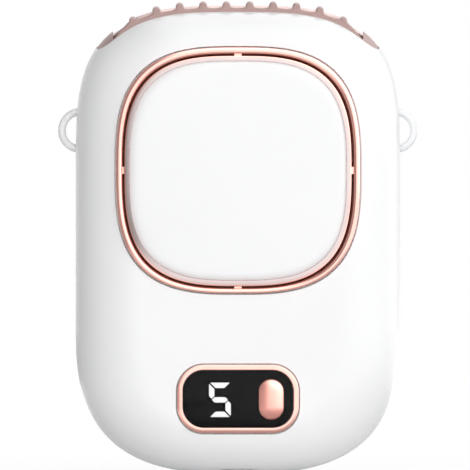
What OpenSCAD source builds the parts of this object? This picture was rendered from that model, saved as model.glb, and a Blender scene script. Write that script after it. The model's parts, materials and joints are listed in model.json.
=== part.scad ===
/* [Body] */
// Width of the body
body_w = 70.4; // [66:0.1:90]
// Height of the shells, from the foot to the crown under the grille
body_h = 101.2; // [98:0.1:124]
// Depth from the crown of the centre cover to the back
body_d = 33; // [33:0.1:42]
// Wall of both shells
wall = 2; // [1.8:0.1:2.2]
// Height of the rounded bottom corners
bottom_corner_h = 32; // [28:0.5:36]
// Height of the rounded top corners
top_corner_h = 34.3; // [31:0.1:38]
// How far the front rounding reaches in from each side
front_round_side = 14; // [12:0.5:16]
// How far the front rounding reaches in from the top and bottom
front_round_end = 10; // [9:0.5:11]
// How far the back rounding reaches in from each side
back_round_side = 13; // [11:0.5:14]
// How far the back rounding reaches in from the top and bottom
back_round_end = 10; // [9:0.5:11]
// Depth of the straight band around the waist
waist_d = 3; // [2.6:0.1:5]
// Height of the slice taken off the bottom, so that the body stands
foot_cut = 0.3; // [0.2:0.05:0.5]

/* [Intake] */
// Width of the intake ring
ring_w = 53; // [50:0.1:54]
// Height of the intake ring
ring_h = 53.4; // [50:0.1:54]
// Distance from the centre of the ring down from the crown of the shells
ring_drop = 35.8; // [34:0.1:40]
// Width of the plated frame outside the air slot
ring_frame = 1.5; // [1.3:0.1:1.7]
// Width of the air slot
air_slot = 0.5; // [0.3:0.05:0.8]
// Width of the trim inside the air slot
ring_trim = 1; // [0.8:0.05:1.3]
// Width of each bridge across the air slot
bridge_w = 1.75; // [1.5:0.05:2.5]
// How far the crown of the centre cover stands ahead of the body
cover_rise = 1.5; // [1:0.1:2.5]

/* [Outlet] */
// Length of the outlet, side to side
outlet_w = 61; // [59:0.1:62]
// Depth of the outlet, front to back
outlet_d = 16.2; // [15.6:0.1:17]
// Number of ribs across the outlet
rib_count = 12; // [8:2:12]
// Distance between neighbouring ribs
rib_pitch = 5.06; // [4.8:0.02:5.1]
// Thickness of a rib
rib_t = 1.7; // [1.2:0.1:2]
// How far the ribs stand above the shells
grille_proud = 0.8; // [0.6:0.05:1]
// How far the grille's frame stands above the shells
frame_proud = 0.55; // [0.3:0.05:0.6]

/* [Display] */
// Width of the display bezel
bezel_w = 26.4; // [25.5:0.1:28]
// Height of the display bezel
bezel_h = 14.9; // [14.6:0.1:16]
// Width of the bezel's frame
bezel_frame = 1.2; // [1:0.1:1.3]
// Corner radius of the bezel
bezel_r = 5.8; // [4.5:0.1:7]
// Height of the bezel's centre above the foot
bezel_z = 16; // [15:0.1:18]
// Height of a digit
digit_h = 7.4; // [6.5:0.1:8]
// Width of a digit
digit_w = 4.7; // [4:0.1:5.5]
// Thickness of a segment of the digit
segment_t = 1.15; // [0.9:0.05:1.4]

/* [Button] */
// Width of the button
button_w = 5.3; // [4.6:0.1:5.8]
// Height of the button
button_h = 8.6; // [7:0.1:9.2]
// How far the button moves in
button_travel = 0.4; // [0.2:0.05:0.5]

/* [Lanyard loops] */
// Radius of a loop, to the middle of its wire
loop_r = 4.07; // [3.6:0.05:4.6]
// Thickness of a loop's wire
loop_wire = 1.67; // [1.4:0.05:1.9]
// Distance from the loops' centre down from the crown of the shells
loop_drop = 27.1; // [25:0.1:30]
// How far a loop's centre lies inside the body's side
loop_inset = 1.1; // [0.8:0.1:1.4]

/* [Fan] */
// Radius of the impeller
impeller_r = 19; // [17.5:0.1:19.2]
// Length of the impeller along its axis
impeller_l = 14.2; // [13:0.1:14.4]
// Number of blades
blade_count = 28; // [18:1:34]
// Thickness of a blade
blade_t = 0.7; // [0.5:0.05:0.9]
// Radius of the motor shaft
shaft_r = 1; // [0.8:0.05:1.2]
// Wall of the fan housing
duct_wall = 1; // [0.8:0.05:1.1]

/* [Battery] */
// Width of the battery
battery_w = 40; // [36:0.5:42]
// Height of the battery
battery_h = 30; // [26:0.5:30.2]
// Thickness of the battery
battery_t = 9; // [7:0.5:10]

/* [Hidden] */
$fn = 96;

// Overrun of cuts past a face, and how deep a piece is rooted in the wall that carries it
over = 1;
root = 0.5;
// Clearance of a seated piece, of a running shaft and of a thread
seat_gap = 0.05;
run_gap = 0.03;
thread_gap = 0.02;

// Curve exponents: corners of the outline, the two roundings, the intake ring
bottom_n = 2.8;
top_n = 3.3;
front_n = 2.1;
back_n = 2.2;
ring_n = 3;
// Steps along a quarter of an outline, along a rounding, and around the intake ring
corner_steps = 12;
round_steps = 9;
ring_steps = 72;

// Planes along the depth, from front to back
front_y = cover_rise - body_d / 2;
back_y = body_d / 2;
waist_front_share = 0.0303;
waist_front_y = -waist_front_share * body_d;
waist_back_y = waist_front_y + waist_d;
part_y = (waist_front_y + waist_back_y) / 2;
inner_front_y = front_y + wall;
inner_back_y = back_y - wall;
crown_z = body_h + grille_proud;

// Lip of the rear shell, which enters a rebate of the front shell
lip_l = 1.5;
lip_gap = 0.1;
rebate_share = 0.5;

// Intake ring and centre cover
ring_z = body_h - ring_drop;
ring_rise_share = 0.6;
ring_front_y = front_y - ring_rise_share * cover_rise;
ring_seat_l = 1.1;
ring_seat_y = front_y + ring_seat_l;
ring_skirt_l = 1.7;
ring_back_y = ring_seat_y + ring_skirt_l;
ring_flange = 1;
cover_gap = 0.15;
cover_edge_drop = 0.9;
cover_skin_shares = [0.985, 0.94, 0.85, 0.7, 0.5, 0.3, 0.1];
cover_ledge_w = 1.2;
cover_ledge_rise = 0.1;
cover_ledge_y = ring_seat_y - cover_ledge_rise;
cover_ledge_t = 0.9;
cover_rim_t = 1;
cover_rim_l = 1.3;
cover_plate_t = 1.4;

// Outlet and its grille
outlet_y = part_y - waist_d / 3;
outlet_corner_r = 5;
outlet_half = outlet_w / 2 - outlet_corner_r;
outlet_side_half = outlet_d / 2 - outlet_corner_r;
outlet_floor_drop = 11.2;
outlet_floor_z = body_h - outlet_floor_drop;
skirt_t = 1.1;
rib_depth = 4.5;
rib_steps = 16;
rib_fall_share = 0.3;
gasket_t = 1;
gasket_short = 2.5;
gasket_z = outlet_floor_z - gasket_t;

// Display, window and bezel
bezel_proud = 0.5;
bezel_depth = 0.9;
bezel_seat_y = front_y + bezel_depth;
window_sink = 0.2;
window_front_y = front_y - bezel_proud + window_sink;
digit_x = -3.9;
digit_low = 0.2;
digit_z = bezel_z - digit_low;
module_w = 9.2;
module_h = 10.4;
module_back = 0.25;
module_front_y = bezel_seat_y + module_back;
segment_depth = 0.4;
segment_gap = 0.26;

// Button and its switch
button_x = 7.26;
button_low = 0.1;
button_z = bezel_z - button_low;
button_gap = 0.12;
button_proud = 1.1;
button_front_y = front_y - button_proud;
button_dome_r = 4.6;
flange_w = 0.8;
flange_t = 0.65;
flange_gap = 0.1;
flange_y = inner_front_y + flange_gap;
switch_size = 6;
switch_plunger_r = 1.5;
switch_gap = 0.25;
switch_front_y = flange_y + flange_t + button_travel + switch_gap;

// Main board, which stands on posts of the front shell
board_t = 1;
board_gap = 4.7;
board_y = inner_front_y + board_gap;
board_back_y = board_y + board_t;
board_half_w = 20;
board_top_z = 30.5;
board_low_z = 5.2;
board_side_z = 10.5;
board_foot_half_w = 10;
post_r = 2;
board_screw_r = 0.8;
board_screw_l = 3.6;
screw_head_h = 1;
board_screw_head_r = 1.5;
screw_slot = 0.2;
slot_share = 0.7;

// Place on the board at shares of its half width and of its height
function on_board(p) = [p[0] * board_half_w, board_low_z + p[1] * (board_top_z - board_low_z)];
post_shares = [[-0.875, 0.88], [0.875, 0.88], [-0.775, 0.27], [0.775, 0.27]];
board_posts = [for (p = post_shares) on_board(p)];

// Chips, each as its place and its width, height and thickness as shares of the board's half width
chip_shares = [[-0.375, 0.53, 0.25, 0.25, 0.045], [0.4, 0.66, 0.2, 0.2, 0.045],
    [-0.475, 0.25, 0.15, 0.145, 0.055], [0.475, 0.25, 0.15, 0.145, 0.055],
    [0.05, 0.84, 0.16, 0.08, 0.04], [-0.225, 0.84, 0.16, 0.08, 0.04],
    [0, 0.31, 0.1, 0.0625, 0.04], [0.2, 0.31, 0.1, 0.0625, 0.04]];
coil_can = 5.8;
coil_can_h = 2.8;
coil_can_shares = [0.05, 0.565];
coil_corner_share = 0.2;

// Charging socket
usb_w = 8.94;
usb_t = 3.2;
usb_l = 7.3;
usb_wall = 0.3;
usb_y = board_back_y + usb_t / 2;
usb_mouth_z = 1.7;
usb_gap = 0.12;
tongue_w = 6.7;
tongue_t = 0.7;
tongue_sunk_share = 0.1;
tongue_block_share = 0.2;

// Case screws, two low and two high
case_screw_r = 1;
case_screw_l = 10;
case_head_r = 1.8;
case_head_h = 1.3;
case_boss_r = 2.6;
case_seat_l = 4;
case_seat_y = part_y + case_seat_l;
case_head_gap = 0.15;
case_low_in = 8.2;
case_low_z = 18;
case_high_in = 8.2;
case_high_drop = 59.2;
case_screws_at = [
    for (s = [-1, 1]) [s * (body_w / 2 - case_low_in), case_low_z],
    for (s = [-1, 1]) [s * (body_w / 2 - case_high_in), body_h - case_high_drop]
];

// Battery, with the strip at its top that carries the protection board
battery_z = 10.4;
battery_pad_t = 1.5;
pad_w_share = 0.8;
battery_back_y = inner_back_y - battery_pad_t;
battery_front_y = battery_back_y - battery_t;
battery_strip_h = 2.8;
battery_strip_t = 1;
battery_edge_r = 2;
battery_board_t = 1;
battery_board_w = 24;
battery_rib_t = 1;
battery_rib_gap = 0.3;
battery_rib_h = 20;
battery_rib_rise = 5;
battery_rib_z = battery_z + battery_rib_rise;
battery_strip_y = battery_front_y + battery_t / 2;

// Fan housing: a scroll that widens from its tongue and runs up into the outlet
duct_short = 0.2;
duct_half_d = outlet_d / 2 - duct_short;
fan_front_y = outlet_y - duct_half_d;
fan_back_y = outlet_y + duct_half_d;
plate_t = 1;
scroll_start = 130;
scroll_turn = 230;
scroll_gap = 1.3;
scroll_growth = 5;
scroll_r0 = impeller_r + scroll_gap;
scroll_r1 = scroll_r0 + scroll_growth;
scroll_steps = 46;
tongue_share = 1.36;
duct_corner_share = 0.54;
duct_mouth_h = 1;
duct_shoulder_rise = 13;
duct_shoulder_z = ring_z + duct_shoulder_rise;
duct_top_z = gasket_z;
duct_half_w = 24;
inlet_r = 15;
inlet_lip = 0.9;
clip_w = 4;
clip_l = 4.5;
clip_gap = 0.3;
clip_angles = [200, 265, 330];
back_inlet_r = 13;
motor_pad_r = 8.6;
spoke_w = 2.4;
spoke_angles = [45, 135];
fan_ear_r = 2.4;
ear_web_share = 0.8;
fan_screw_r = 0.85;
fan_screw_l = 6;
fan_head_r = 1.6;
fan_head_h = 1.1;
// Ears around the scroll, each as its angle and its distance from the wall as a share of a screw's head
fan_ear_shares = [[225, 1.67], [315, 2.03], [159.7, 1.74]];
fan_ears = [for (e = fan_ear_shares) ear_reach(e) * [cos(e[0]), sin(e[0])]];

// Impeller, from its front ring to its back ring
impeller_front_y = outlet_y - impeller_l / 2;
impeller_back_y = outlet_y + impeller_l / 2;
blade_inner_r = 14.6;
blade_curve = 24;
blade_steps = 5;
impeller_ring_w = 1.3;
impeller_ring_t = 0.8;
disc_t = 0.9;
disc_ahead = 2.2;
disc_y = outlet_y - disc_ahead;
hub_r = 9.6;
hub_t = 0.8;
hub_ahead = 1.4;
hub_behind = 4.6;
hub_front_y = disc_y - hub_ahead;
hub_back_y = outlet_y + hub_behind;

// Motor, an outer rotor around a fixed core
cup_gap = 0.04;
cup_t = 0.6;
cup_r = hub_r - hub_t - cup_gap;
cup_front_y = hub_front_y + hub_t + cup_gap;
cup_back_y = hub_back_y;
magnet_t = 1.1;
magnet_r = cup_r - cup_t - cup_gap;
magnet_ahead = 0.6;
magnet_behind = 0.4;
magnet_front_y = cup_front_y + cup_t + magnet_ahead;
magnet_back_y = cup_back_y - magnet_behind;
air_gap = 0.35;
stator_r = magnet_r - magnet_t - air_gap;
stator_h = 2.6;
stator_y = (magnet_front_y + magnet_back_y) / 2;
stator_teeth = 9;
tooth_w = 1;
tooth_tip_t = 0.6;
tooth_tip_angle = 30;
stator_ring_t = 0.9;
coil_t = 0.45;
coil_gap = 0.1;
tube_r = 2.9;
bush_r = 2.1;
bush_gap = 0.5;
tube_short = 0.3;
bush_front_y = cup_front_y + cup_t + bush_gap;
tube_front_y = bush_front_y + tube_short;
fan_plate_y = fan_back_y;
shaft_past = 1.4;
shaft_back_y = fan_plate_y + plate_t + shaft_past;
groove_r = 0.7;
groove_in = 1;
clip_t = 0.4;
clip_r = 1.8;
groove_y = shaft_back_y - groove_in;
motor_board_t = 0.6;
motor_board_r = 7.6;
motor_board_gap = 0.3;
motor_board_y = fan_plate_y - motor_board_t - motor_board_gap;

// Slots in the back that feed the fan
back_slot_w = 1.5;
back_slot_pitch = 3.2;
back_slot_r = 14;
back_slot_rows = 4;

// Lanyard loops, held where the two shells meet
loop_z = body_h - loop_drop;
loop_x = body_w / 2 - loop_inset;
loop_y = part_y;

// Leads, each through a few points and with round bends
lead_r = 0.5;
lead_sides = 8;
lead_steps = 8;
socket_w = 4.4;
socket_h = 3.4;
socket_t = 3;
socket_pitch = 1.2;
battery_bend = 2;
battery_lead_aside = 3;
motor_bend = 1.6;
lead_apart = [0.87, 0.25];
lead_apart_high = 0.6;
motor_lead_angle = -70;
motor_lead_in = 2;
socket_shares = [0.675, 0.75];
battery_socket_at = on_board([-socket_shares[0], socket_shares[1]]);
motor_socket_at = on_board(socket_shares);

// Magnitude of a superellipse's coordinate at the sine or cosine c
function share_of(c, n) = pow(abs(c), 2 / n);
function with_sign(c, v) = c < 0 ? -v : v;

// How far a rounding of exponent n has turned in, as a share of its reach, at the share t of its depth
function turned(t, n) = 1 - pow(max(0, 1 - pow(min(1, max(0, t)), n)), 1 / n);

// Point of the body's outline at the angle a, drawn in by dx at the sides and dz at the ends
function outline_point(a, dx, dz) =
    let (c = cos(a), s = sin(a), n = s < 0 ? bottom_n : top_n,
        x = with_sign(c, (body_w / 2 - dx) * share_of(c, n)))
    s < 0 ? [x, bottom_corner_h - (bottom_corner_h + foot_cut - dz) * share_of(s, n)]
        : [x, body_h - top_corner_h + (top_corner_h - dz) * share_of(s, n)];

// Angles around the outline: two quarters above the straight sides and two below
function outline_angles() = concat(
    [for (i = [0 : 2 * corner_steps]) 180 * i / (2 * corner_steps)],
    [for (i = [0 : 2 * corner_steps]) 180.001 + 179.998 * i / (2 * corner_steps)]);

// One row of a shell: the outline at the depth y, drawn in by dx and dz
function row(y, dx, dz, low) = [
    for (a = outline_angles())
        let (p = outline_point(a, dx, dz)) [p[0], y, low ? max(0, p[1]) : p[1]]
];

// Rows of a rounding from the waist plane y0 to the plane y1, inside a wall of thickness w
function rounding(y0, y1, side, end, n, w, low) = [
    for (i = [0 : round_steps])
        let (f = 90 * i / round_steps, t = share_of(sin(f), n), k = turned(t, n))
            row(y0 + (y1 - y0) * t, w + (side - w) * k, w + (end - w) * k, low)
];

function reversed(v) = [for (i = [len(v) - 1 : -1 : 0]) v[i]];

// A closed solid through rows of points, with a flat face at each end
module lofted(rows, outward) {
    n = len(rows[0]);
    last = len(rows) - 1;
    sides = [
        for (j = [0 : last - 1], i = [0 : n - 1], half = [0, 1])
            let (k = (i + 1) % n, a = j * n + i, b = j * n + k, c = a + n, d = b + n)
                half == 0 ? [a, b, d] : [a, d, c]
    ];
    ends = [[for (i = [n - 1 : -1 : 0]) i], [for (i = [0 : n - 1]) last * n + i]];
    faces = concat(sides, ends);
    polyhedron([for (r = rows) each r], outward ? faces : [for (f = faces) reversed(f)]);
}

// The front half: front face, rounding, waist, rebate for the lip, and the inside back to the front
module front_tub() {
    step = wall * rebate_share;
    rows = concat(
        reversed(rounding(waist_front_y, front_y, front_round_side, front_round_end, front_n, 0, true)),
        [row(part_y, 0, 0, true), row(part_y, step, step, false),
            row(part_y - lip_l - lip_gap, step, step, false)],
        [row(part_y - lip_l - lip_gap, wall, wall, false)],
        rounding(part_y - lip_l - 2 * lip_gap, inner_front_y, front_round_side, front_round_end, front_n,
            wall, false));
    lofted(rows, true);
}

// The rear half, with the lip standing ahead of the parting plane
module rear_tub() {
    step = wall * rebate_share + lip_gap;
    rows = concat(
        reversed(rounding(waist_back_y, back_y, back_round_side, back_round_end, back_n, 0, true)),
        [row(part_y, 0, 0, true), row(part_y, step, step, false),
            row(part_y - lip_l, step, step, false), row(part_y - lip_l, wall, wall, false)],
        rounding(waist_back_y, inner_back_y, back_round_side, back_round_end, back_n, wall, false));
    lofted(rows, false);
}

// What lies inside the middle of the walls of each shell, where its bosses end
module front_core() {
    w = wall / 2;
    lofted(concat(
        reversed(rounding(waist_front_y, front_y + w, front_round_side, front_round_end, front_n, w, false)),
        [row(part_y, w, w, false)]), true);
}

module rear_core() {
    w = wall / 2;
    lofted(concat(
        reversed(rounding(waist_back_y, back_y - w, back_round_side, back_round_end, back_n, w, false)),
        [row(part_y, w, w, false)]), false);
}

// Laid along Y: a cylinder, a tube and a bar of round ends, each from the plane y0 to y1
module rod(r, y0, y1) {
    translate([0, y0, 0]) rotate([-90, 0, 0]) cylinder(r = r, h = y1 - y0);
}

module ring_of(r, hole, y0, y1) {
    difference() {
        rod(r, y0, y1);
        rod(hole, y0 - over, y1 + over);
    }
}

module block(x0, x1, y0, y1, z0, z1) {
    translate([x0, y0, z0]) cube([x1 - x0, y1 - y0, z1 - z0]);
}

// Upright pill of width w and height h, centred on x and z
module pill(w, h, y0, y1) {
    block(-w / 2, w / 2, y0, y1, -(h - w) / 2, (h - w) / 2);
    for (s = [-1, 1]) translate([0, 0, s * (h - w) / 2]) rod(w / 2, y0, y1);
}

// Plate of width w and height h with corners of radius r
module rounded_plate(w, h, r, y0, y1) {
    block(-w / 2, w / 2, y0, y1, r - h / 2, h / 2 - r);
    block(r - w / 2, w / 2 - r, y0, y1, -h / 2, h / 2);
    for (sx = [-1, 1], sz = [-1, 1])
        translate([sx * (w / 2 - r), 0, sz * (h / 2 - r)]) rod(r, y0, y1);
}

// Flat shape of points given as x and z, from the plane y0 to y1
module slab(points, y0, y1) {
    translate([0, y1, 0]) rotate([90, 0, 0]) linear_extrude(height = y1 - y0) polygon(points);
}

// Outline of the intake ring, drawn in by d
function ring_outline(d) = [
    for (i = [0 : ring_steps - 1])
        let (a = 360 * i / ring_steps)
            [with_sign(cos(a), (ring_w / 2 - d) * share_of(cos(a), ring_n)),
                with_sign(sin(a), (ring_h / 2 - d) * share_of(sin(a), ring_n))]
];

module ring_plate(d, y0, y1) {
    translate([0, 0, ring_z]) slab(ring_outline(d), y0, y1);
}

// The outlet's plan, drawn in by d, from z0 to z1
module outlet_prism(d, z0, z1) {
    r = outlet_corner_r - d;
    translate([0, outlet_y, 0]) {
        block(-outlet_half, outlet_half, -outlet_side_half - r, outlet_side_half + r, z0, z1);
        block(-outlet_half - r, outlet_half + r, -outlet_side_half, outlet_side_half, z0, z1);
        for (sx = [-1, 1], sy = [-1, 1])
            translate([sx * outlet_half, sy * outlet_side_half, z0]) cylinder(r = r, h = z1 - z0);
    }
}

// Height of the shells' top at x and y, grown by g
function top_at(x, y, g) =
    let (front = y < waist_front_y,
        t = front ? (waist_front_y - y) / (waist_front_y - front_y + g)
            : (y - waist_back_y) / (back_y - waist_back_y + g),
        k = turned(t, front ? front_n : back_n),
        half = body_w / 2 + g - k * (front ? front_round_side : back_round_side),
        rise = top_corner_h + g - k * (front ? front_round_end : back_round_end))
    body_h - top_corner_h + rise * pow(max(0, 1 - pow(min(1, abs(x) / half), top_n)), 1 / top_n);

module lanyard_loop(side, grow) {
    translate([side * loop_x, loop_y, loop_z]) rotate([90, 0, 0])
        rotate_extrude() translate([loop_r, 0]) circle(r = loop_wire / 2 + grow);
}

module front_shell() {
    color("white") difference() {
        union() {
            difference() {
                front_tub();
                ring_plate(-seat_gap, front_y - over, ring_seat_y);
                ring_plate(ring_flange - seat_gap, front_y - over, inner_front_y + over);
                translate([0, 0, bezel_z])
                    rounded_plate(bezel_w + 2 * seat_gap, bezel_h + 2 * seat_gap, bezel_r + seat_gap,
                        front_y - over, bezel_seat_y);
            }
            intersection() {
                front_core();
                for (p = case_screws_at)
                    translate([p[0], 0, p[1]]) rod(case_boss_r, front_y, part_y);
            }
            for (p = board_posts)
                translate([p[0], 0, p[1]]) rod(post_r, inner_front_y - root, board_y);
        }
        outlet_prism(-seat_gap, outlet_floor_z, crown_z + over);
        translate([digit_x, 0, digit_z])
            block(-module_w / 2 - seat_gap, module_w / 2 + seat_gap, front_y - over, inner_front_y + over,
                -module_h / 2 - seat_gap, module_h / 2 + seat_gap);
        translate([button_x, 0, button_z])
            pill(button_w + 2 * button_gap, button_h + 2 * button_gap, front_y - over, inner_front_y + over);
        for (p = case_screws_at)
            translate([p[0], 0, p[1]])
                rod(case_screw_r + thread_gap, case_seat_y - case_screw_l - root, part_y + over);
        for (p = board_posts)
            translate([p[0], 0, p[1]])
                rod(board_screw_r + thread_gap, board_back_y - board_screw_l - root, board_y + over);
        usb_port();
        for (s = [-1, 1]) lanyard_loop(s, seat_gap);
    }
}

module usb_port() {
    translate([0, usb_y, -over]) linear_extrude(height = over + usb_mouth_z + usb_l)
        socket_plan(usb_w + 2 * usb_gap, usb_t + 2 * usb_gap);
}

module socket_plan(w, t) {
    square([w - t, t], center = true);
    for (s = [-1, 1]) translate([s * (w - t) / 2, 0]) circle(r = t / 2);
}

module rear_shell() {
    color("white") difference() {
        union() {
            rear_tub();
            intersection() {
                rear_core();
                for (p = case_screws_at)
                    translate([p[0], 0, p[1]]) rod(case_boss_r, part_y, back_y);
            }
            for (p = fan_ears)
                translate([p[0], 0, ring_z + p[1]])
                    rod(fan_ear_r, fan_plate_y + plate_t, inner_back_y + root);
            for (s = [-1, 1])
                translate([s * (battery_w / 2 + battery_rib_gap + battery_rib_t / 2), 0, 0])
                    block(-battery_rib_t / 2, battery_rib_t / 2, battery_strip_y, inner_back_y + root,
                        battery_rib_z, battery_rib_z + battery_rib_h);
        }
        outlet_prism(-seat_gap, outlet_floor_z, crown_z + over);
        for (p = case_screws_at)
            translate([p[0], 0, p[1]]) {
                rod(case_screw_r + case_head_gap, part_y - lip_l - over, back_y);
                rod(case_head_r + case_head_gap, case_seat_y, back_y + over);
            }
        for (p = fan_ears)
            translate([p[0], 0, ring_z + p[1]])
                rod(fan_screw_r + thread_gap, fan_plate_y, fan_plate_y + fan_screw_l + root);
        for (i = [-back_slot_rows : back_slot_rows])
            let (half = sqrt(pow(back_slot_r, 2) - pow(i * back_slot_pitch, 2)))
                translate([0, 0, ring_z + i * back_slot_pitch]) rotate([0, 90, 0])
                    pill(back_slot_w, 2 * half, inner_back_y - over, back_y + over);
        for (s = [-1, 1]) lanyard_loop(s, seat_gap);
    }
}

module intake_ring() {
    slot_out = ring_frame;
    slot_in = ring_frame + air_slot;
    trim_in = slot_in + ring_trim;
    color("rosybrown") difference() {
        union() {
            ring_plate(0, ring_front_y, ring_seat_y);
            ring_plate(ring_flange, ring_seat_y, ring_back_y);
        }
        ring_plate(trim_in, ring_front_y - over, cover_ledge_y);
        ring_plate(trim_in + cover_ledge_w, cover_ledge_y - over, ring_back_y + over);
        ring_plate(slot_in, cover_ledge_y + cover_ledge_t, ring_back_y + over);
        difference() {
            ring_plate(slot_out, ring_front_y - over, ring_back_y + over);
            ring_plate(slot_in, ring_front_y - 2 * over, ring_back_y + 2 * over);
            block(-bridge_w / 2, bridge_w / 2, ring_front_y - over, ring_back_y + over,
                ring_z - ring_h, ring_z + ring_h);
            block(-ring_w, ring_w, ring_front_y - over, ring_back_y + over,
                ring_z - bridge_w / 2, ring_z + bridge_w / 2);
        }
    }
}

// The cover's skin falls slowly from its crown and fast at its edge
module centre_cover() {
    edge = ring_frame + air_slot + ring_trim + cover_gap;
    crown_y = -body_d / 2;
    rows = [
        [cover_ledge_y, 1],
        for (k = concat([1], cover_skin_shares))
            [crown_y + cover_edge_drop * (pow(k, 2) + pow(k, 24)), k]
    ];
    color("white") difference() {
        union() {
            translate([0, 0, ring_z]) lofted([
                for (r = rows) [for (p = ring_outline(edge))
                    [p[0] * r[1], r[0], p[1] * r[1]]]], false);
            ring_plate(edge + cover_ledge_w, cover_ledge_y, cover_ledge_y + cover_rim_l);
        }
        ring_plate(edge + cover_ledge_w + cover_rim_t, crown_y + cover_edge_drop + cover_plate_t,
            ring_back_y + over);
    }
}

// Points of the outlet's edge, drawn in by d, as x and y
function outlet_edge(d) =
    let (r = outlet_corner_r - d, n = 2 * rib_count, k = corner_steps, x = outlet_half, y = outlet_side_half)
    concat(
        [for (i = [0 : n - 1]) [x - 2 * x * i / n, outlet_y - y - r]],
        [for (i = [0 : k]) [-x - r * sin(90 * i / k), outlet_y - y - r * cos(90 * i / k)]],
        [for (i = [0 : k - 1]) [-x - r * cos(90 * i / k), outlet_y + y + r * sin(90 * i / k)]],
        [for (i = [0 : n - 1]) [-x + 2 * x * i / n, outlet_y + y + r]],
        [for (i = [0 : k]) [x + r * sin(90 * i / k), outlet_y + y + r * cos(90 * i / k)]],
        [for (i = [0 : k - 1]) [x + r * cos(90 * i / k), outlet_y - y - r * sin(90 * i / k)]]);

// A closed band through rows of points, the last joined to the first
module frame_of(rows_open) {
    n = len(rows_open[0]);
    m = len(rows_open);
    sides = [
        for (j = [0 : m - 1], i = [0 : n - 1], half = [0, 1])
            let (k = (i + 1) % n, u = (j + 1) % m, a = j * n + i, b = j * n + k, c = u * n + i, d = u * n + k)
                half == 0 ? [a, b, d] : [a, d, c]
    ];
    polyhedron([for (r = rows_open) each r], sides);
}

// Height of a bar's top at x and y, which falls by a share of the shells' fall towards the front and back
function bar_top(x, y, fall) =
    let (crown = top_at(x, waist_front_y, grille_proud))
    crown - fall * (crown - top_at(x, y, grille_proud));

// A bar across the outlet from x0 to x1, from frame to frame
module bar(x0, x1, fall) {
    half = outlet_d / 2;
    ys = [for (i = [0 : rib_steps]) outlet_y - half + 2 * half * i / rib_steps];
    rows = [
        for (y = ys)
            [[x0, y, bar_top(x0, y, fall) - rib_depth], [x1, y, bar_top(x1, y, fall) - rib_depth],
                [x1, y, bar_top(x1, y, fall)], [x0, y, bar_top(x0, y, fall)]]
    ];
    intersection() {
        lofted(rows, true);
        outlet_prism(skirt_t / 2, outlet_floor_z, crown_z + over);
    }
}

module outlet_grille() {
    color("rosybrown") {
        frame_of([
            [for (p = outlet_edge(0)) [p[0], p[1], outlet_floor_z]],
            [for (p = outlet_edge(0)) [p[0], p[1], top_at(p[0], p[1], frame_proud)]],
            [for (p = outlet_edge(skirt_t)) [p[0], p[1], top_at(p[0], p[1], frame_proud)]],
            [for (p = outlet_edge(skirt_t)) [p[0], p[1], outlet_floor_z]]
        ]);
        for (i = [1 : rib_count - 2])
            let (x = (i - (rib_count - 1) / 2) * rib_pitch) bar(x - rib_t / 2, x + rib_t / 2, rib_fall_share);
        // The outermost ribs close the ends
        for (s = [-1, 1])
            let (x = s * ((rib_count - 1) * rib_pitch - rib_t) / 2, past = s * (outlet_w / 2 - skirt_t / 2))
                bar(min(x, past), max(x, past), 1);
    }
}

module outlet_gasket() {
    r = duct_half_d + duct_wall;
    half = (outlet_w - outlet_d) / 2 - gasket_short;
    color("dimgray") difference() {
        translate([0, outlet_y, gasket_z]) {
            translate([-half, -r, 0]) cube([2 * half, 2 * r, gasket_t]);
            for (s = [-1, 1]) translate([s * half, 0, 0]) cylinder(r = r, h = gasket_t);
        }
        block(-duct_half_w, duct_half_w, outlet_y - outlet_d / 2 + skirt_t, outlet_y + outlet_d / 2 - skirt_t,
            gasket_z - over, outlet_floor_z + over);
    }
}

module display_bezel() {
    color("rosybrown") translate([0, 0, bezel_z]) difference() {
        rounded_plate(bezel_w, bezel_h, bezel_r, front_y - bezel_proud, bezel_seat_y);
        rounded_plate(bezel_w - 2 * bezel_frame, bezel_h - 2 * bezel_frame, bezel_r - bezel_frame,
            front_y - bezel_proud - over, bezel_seat_y + over);
    }
}

module display_window() {
    inset = bezel_frame + seat_gap;
    color("black") difference() {
        translate([0, 0, bezel_z])
            rounded_plate(bezel_w - 2 * inset, bezel_h - 2 * inset, bezel_r - inset,
                window_front_y, bezel_seat_y);
        translate([button_x, 0, button_z])
            pill(button_w + 2 * button_gap, button_h + 2 * button_gap, window_front_y - over,
                bezel_seat_y + over);
    }
}

// Outlines of the digit's top bar, of its upper left post and of its middle bar, with ends cut at 45 degrees
function bar_outline() =
    let (w = digit_w / 2, h = digit_h / 2, t = segment_t, g = segment_gap)
    [[g - w, h], [w - g, h], [w - g - t, h - t], [g - w + t, h - t]];
function post_outline() =
    let (w = digit_w / 2, h = digit_h / 2, t = segment_t, g = segment_gap)
    [[-w, h - g], [t - w, h - g - t], [t - w, g + t / 2], [t / 2 - w, g], [-w, g + t / 2]];
function middle_outline() =
    let (t = segment_t / 2, l = digit_w / 2 - t - segment_gap / 4)
    [[-l, 0], [t - l, t], [l - t, t], [l, 0], [l - t, -t], [t - l, -t]];

// The seven segments, each as its outline and the signs that mirror it; the first five make a five
function segments() = [
    [bar_outline(), 1, 1], [post_outline(), 1, 1], [middle_outline(), 1, 1], [post_outline(), -1, -1],
    [bar_outline(), 1, -1], [post_outline(), -1, 1], [post_outline(), 1, -1]
];

module segment(i, grow) {
    s = segments()[i];
    front = module_front_y - (grow > 0 ? over : 0);
    back = module_front_y + segment_depth;
    translate([digit_x, back, digit_z]) rotate([90, 0, 0]) linear_extrude(height = back - front)
        offset(delta = grow) polygon([for (q = s[0]) [q[0] * s[1], q[1] * s[2]]]);
}

module display_module() {
    color("dimgray") difference() {
        translate([digit_x, 0, digit_z])
            block(-module_w / 2, module_w / 2, module_front_y, board_y, -module_h / 2, module_h / 2);
        for (i = [0 : 6]) segment(i, seat_gap);
    }
}

module lit_segments() {
    color("white") for (i = [0 : 4]) segment(i, 0);
}

module unlit_segments() {
    color("gray") for (i = [5, 6]) segment(i, 0);
}

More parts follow.
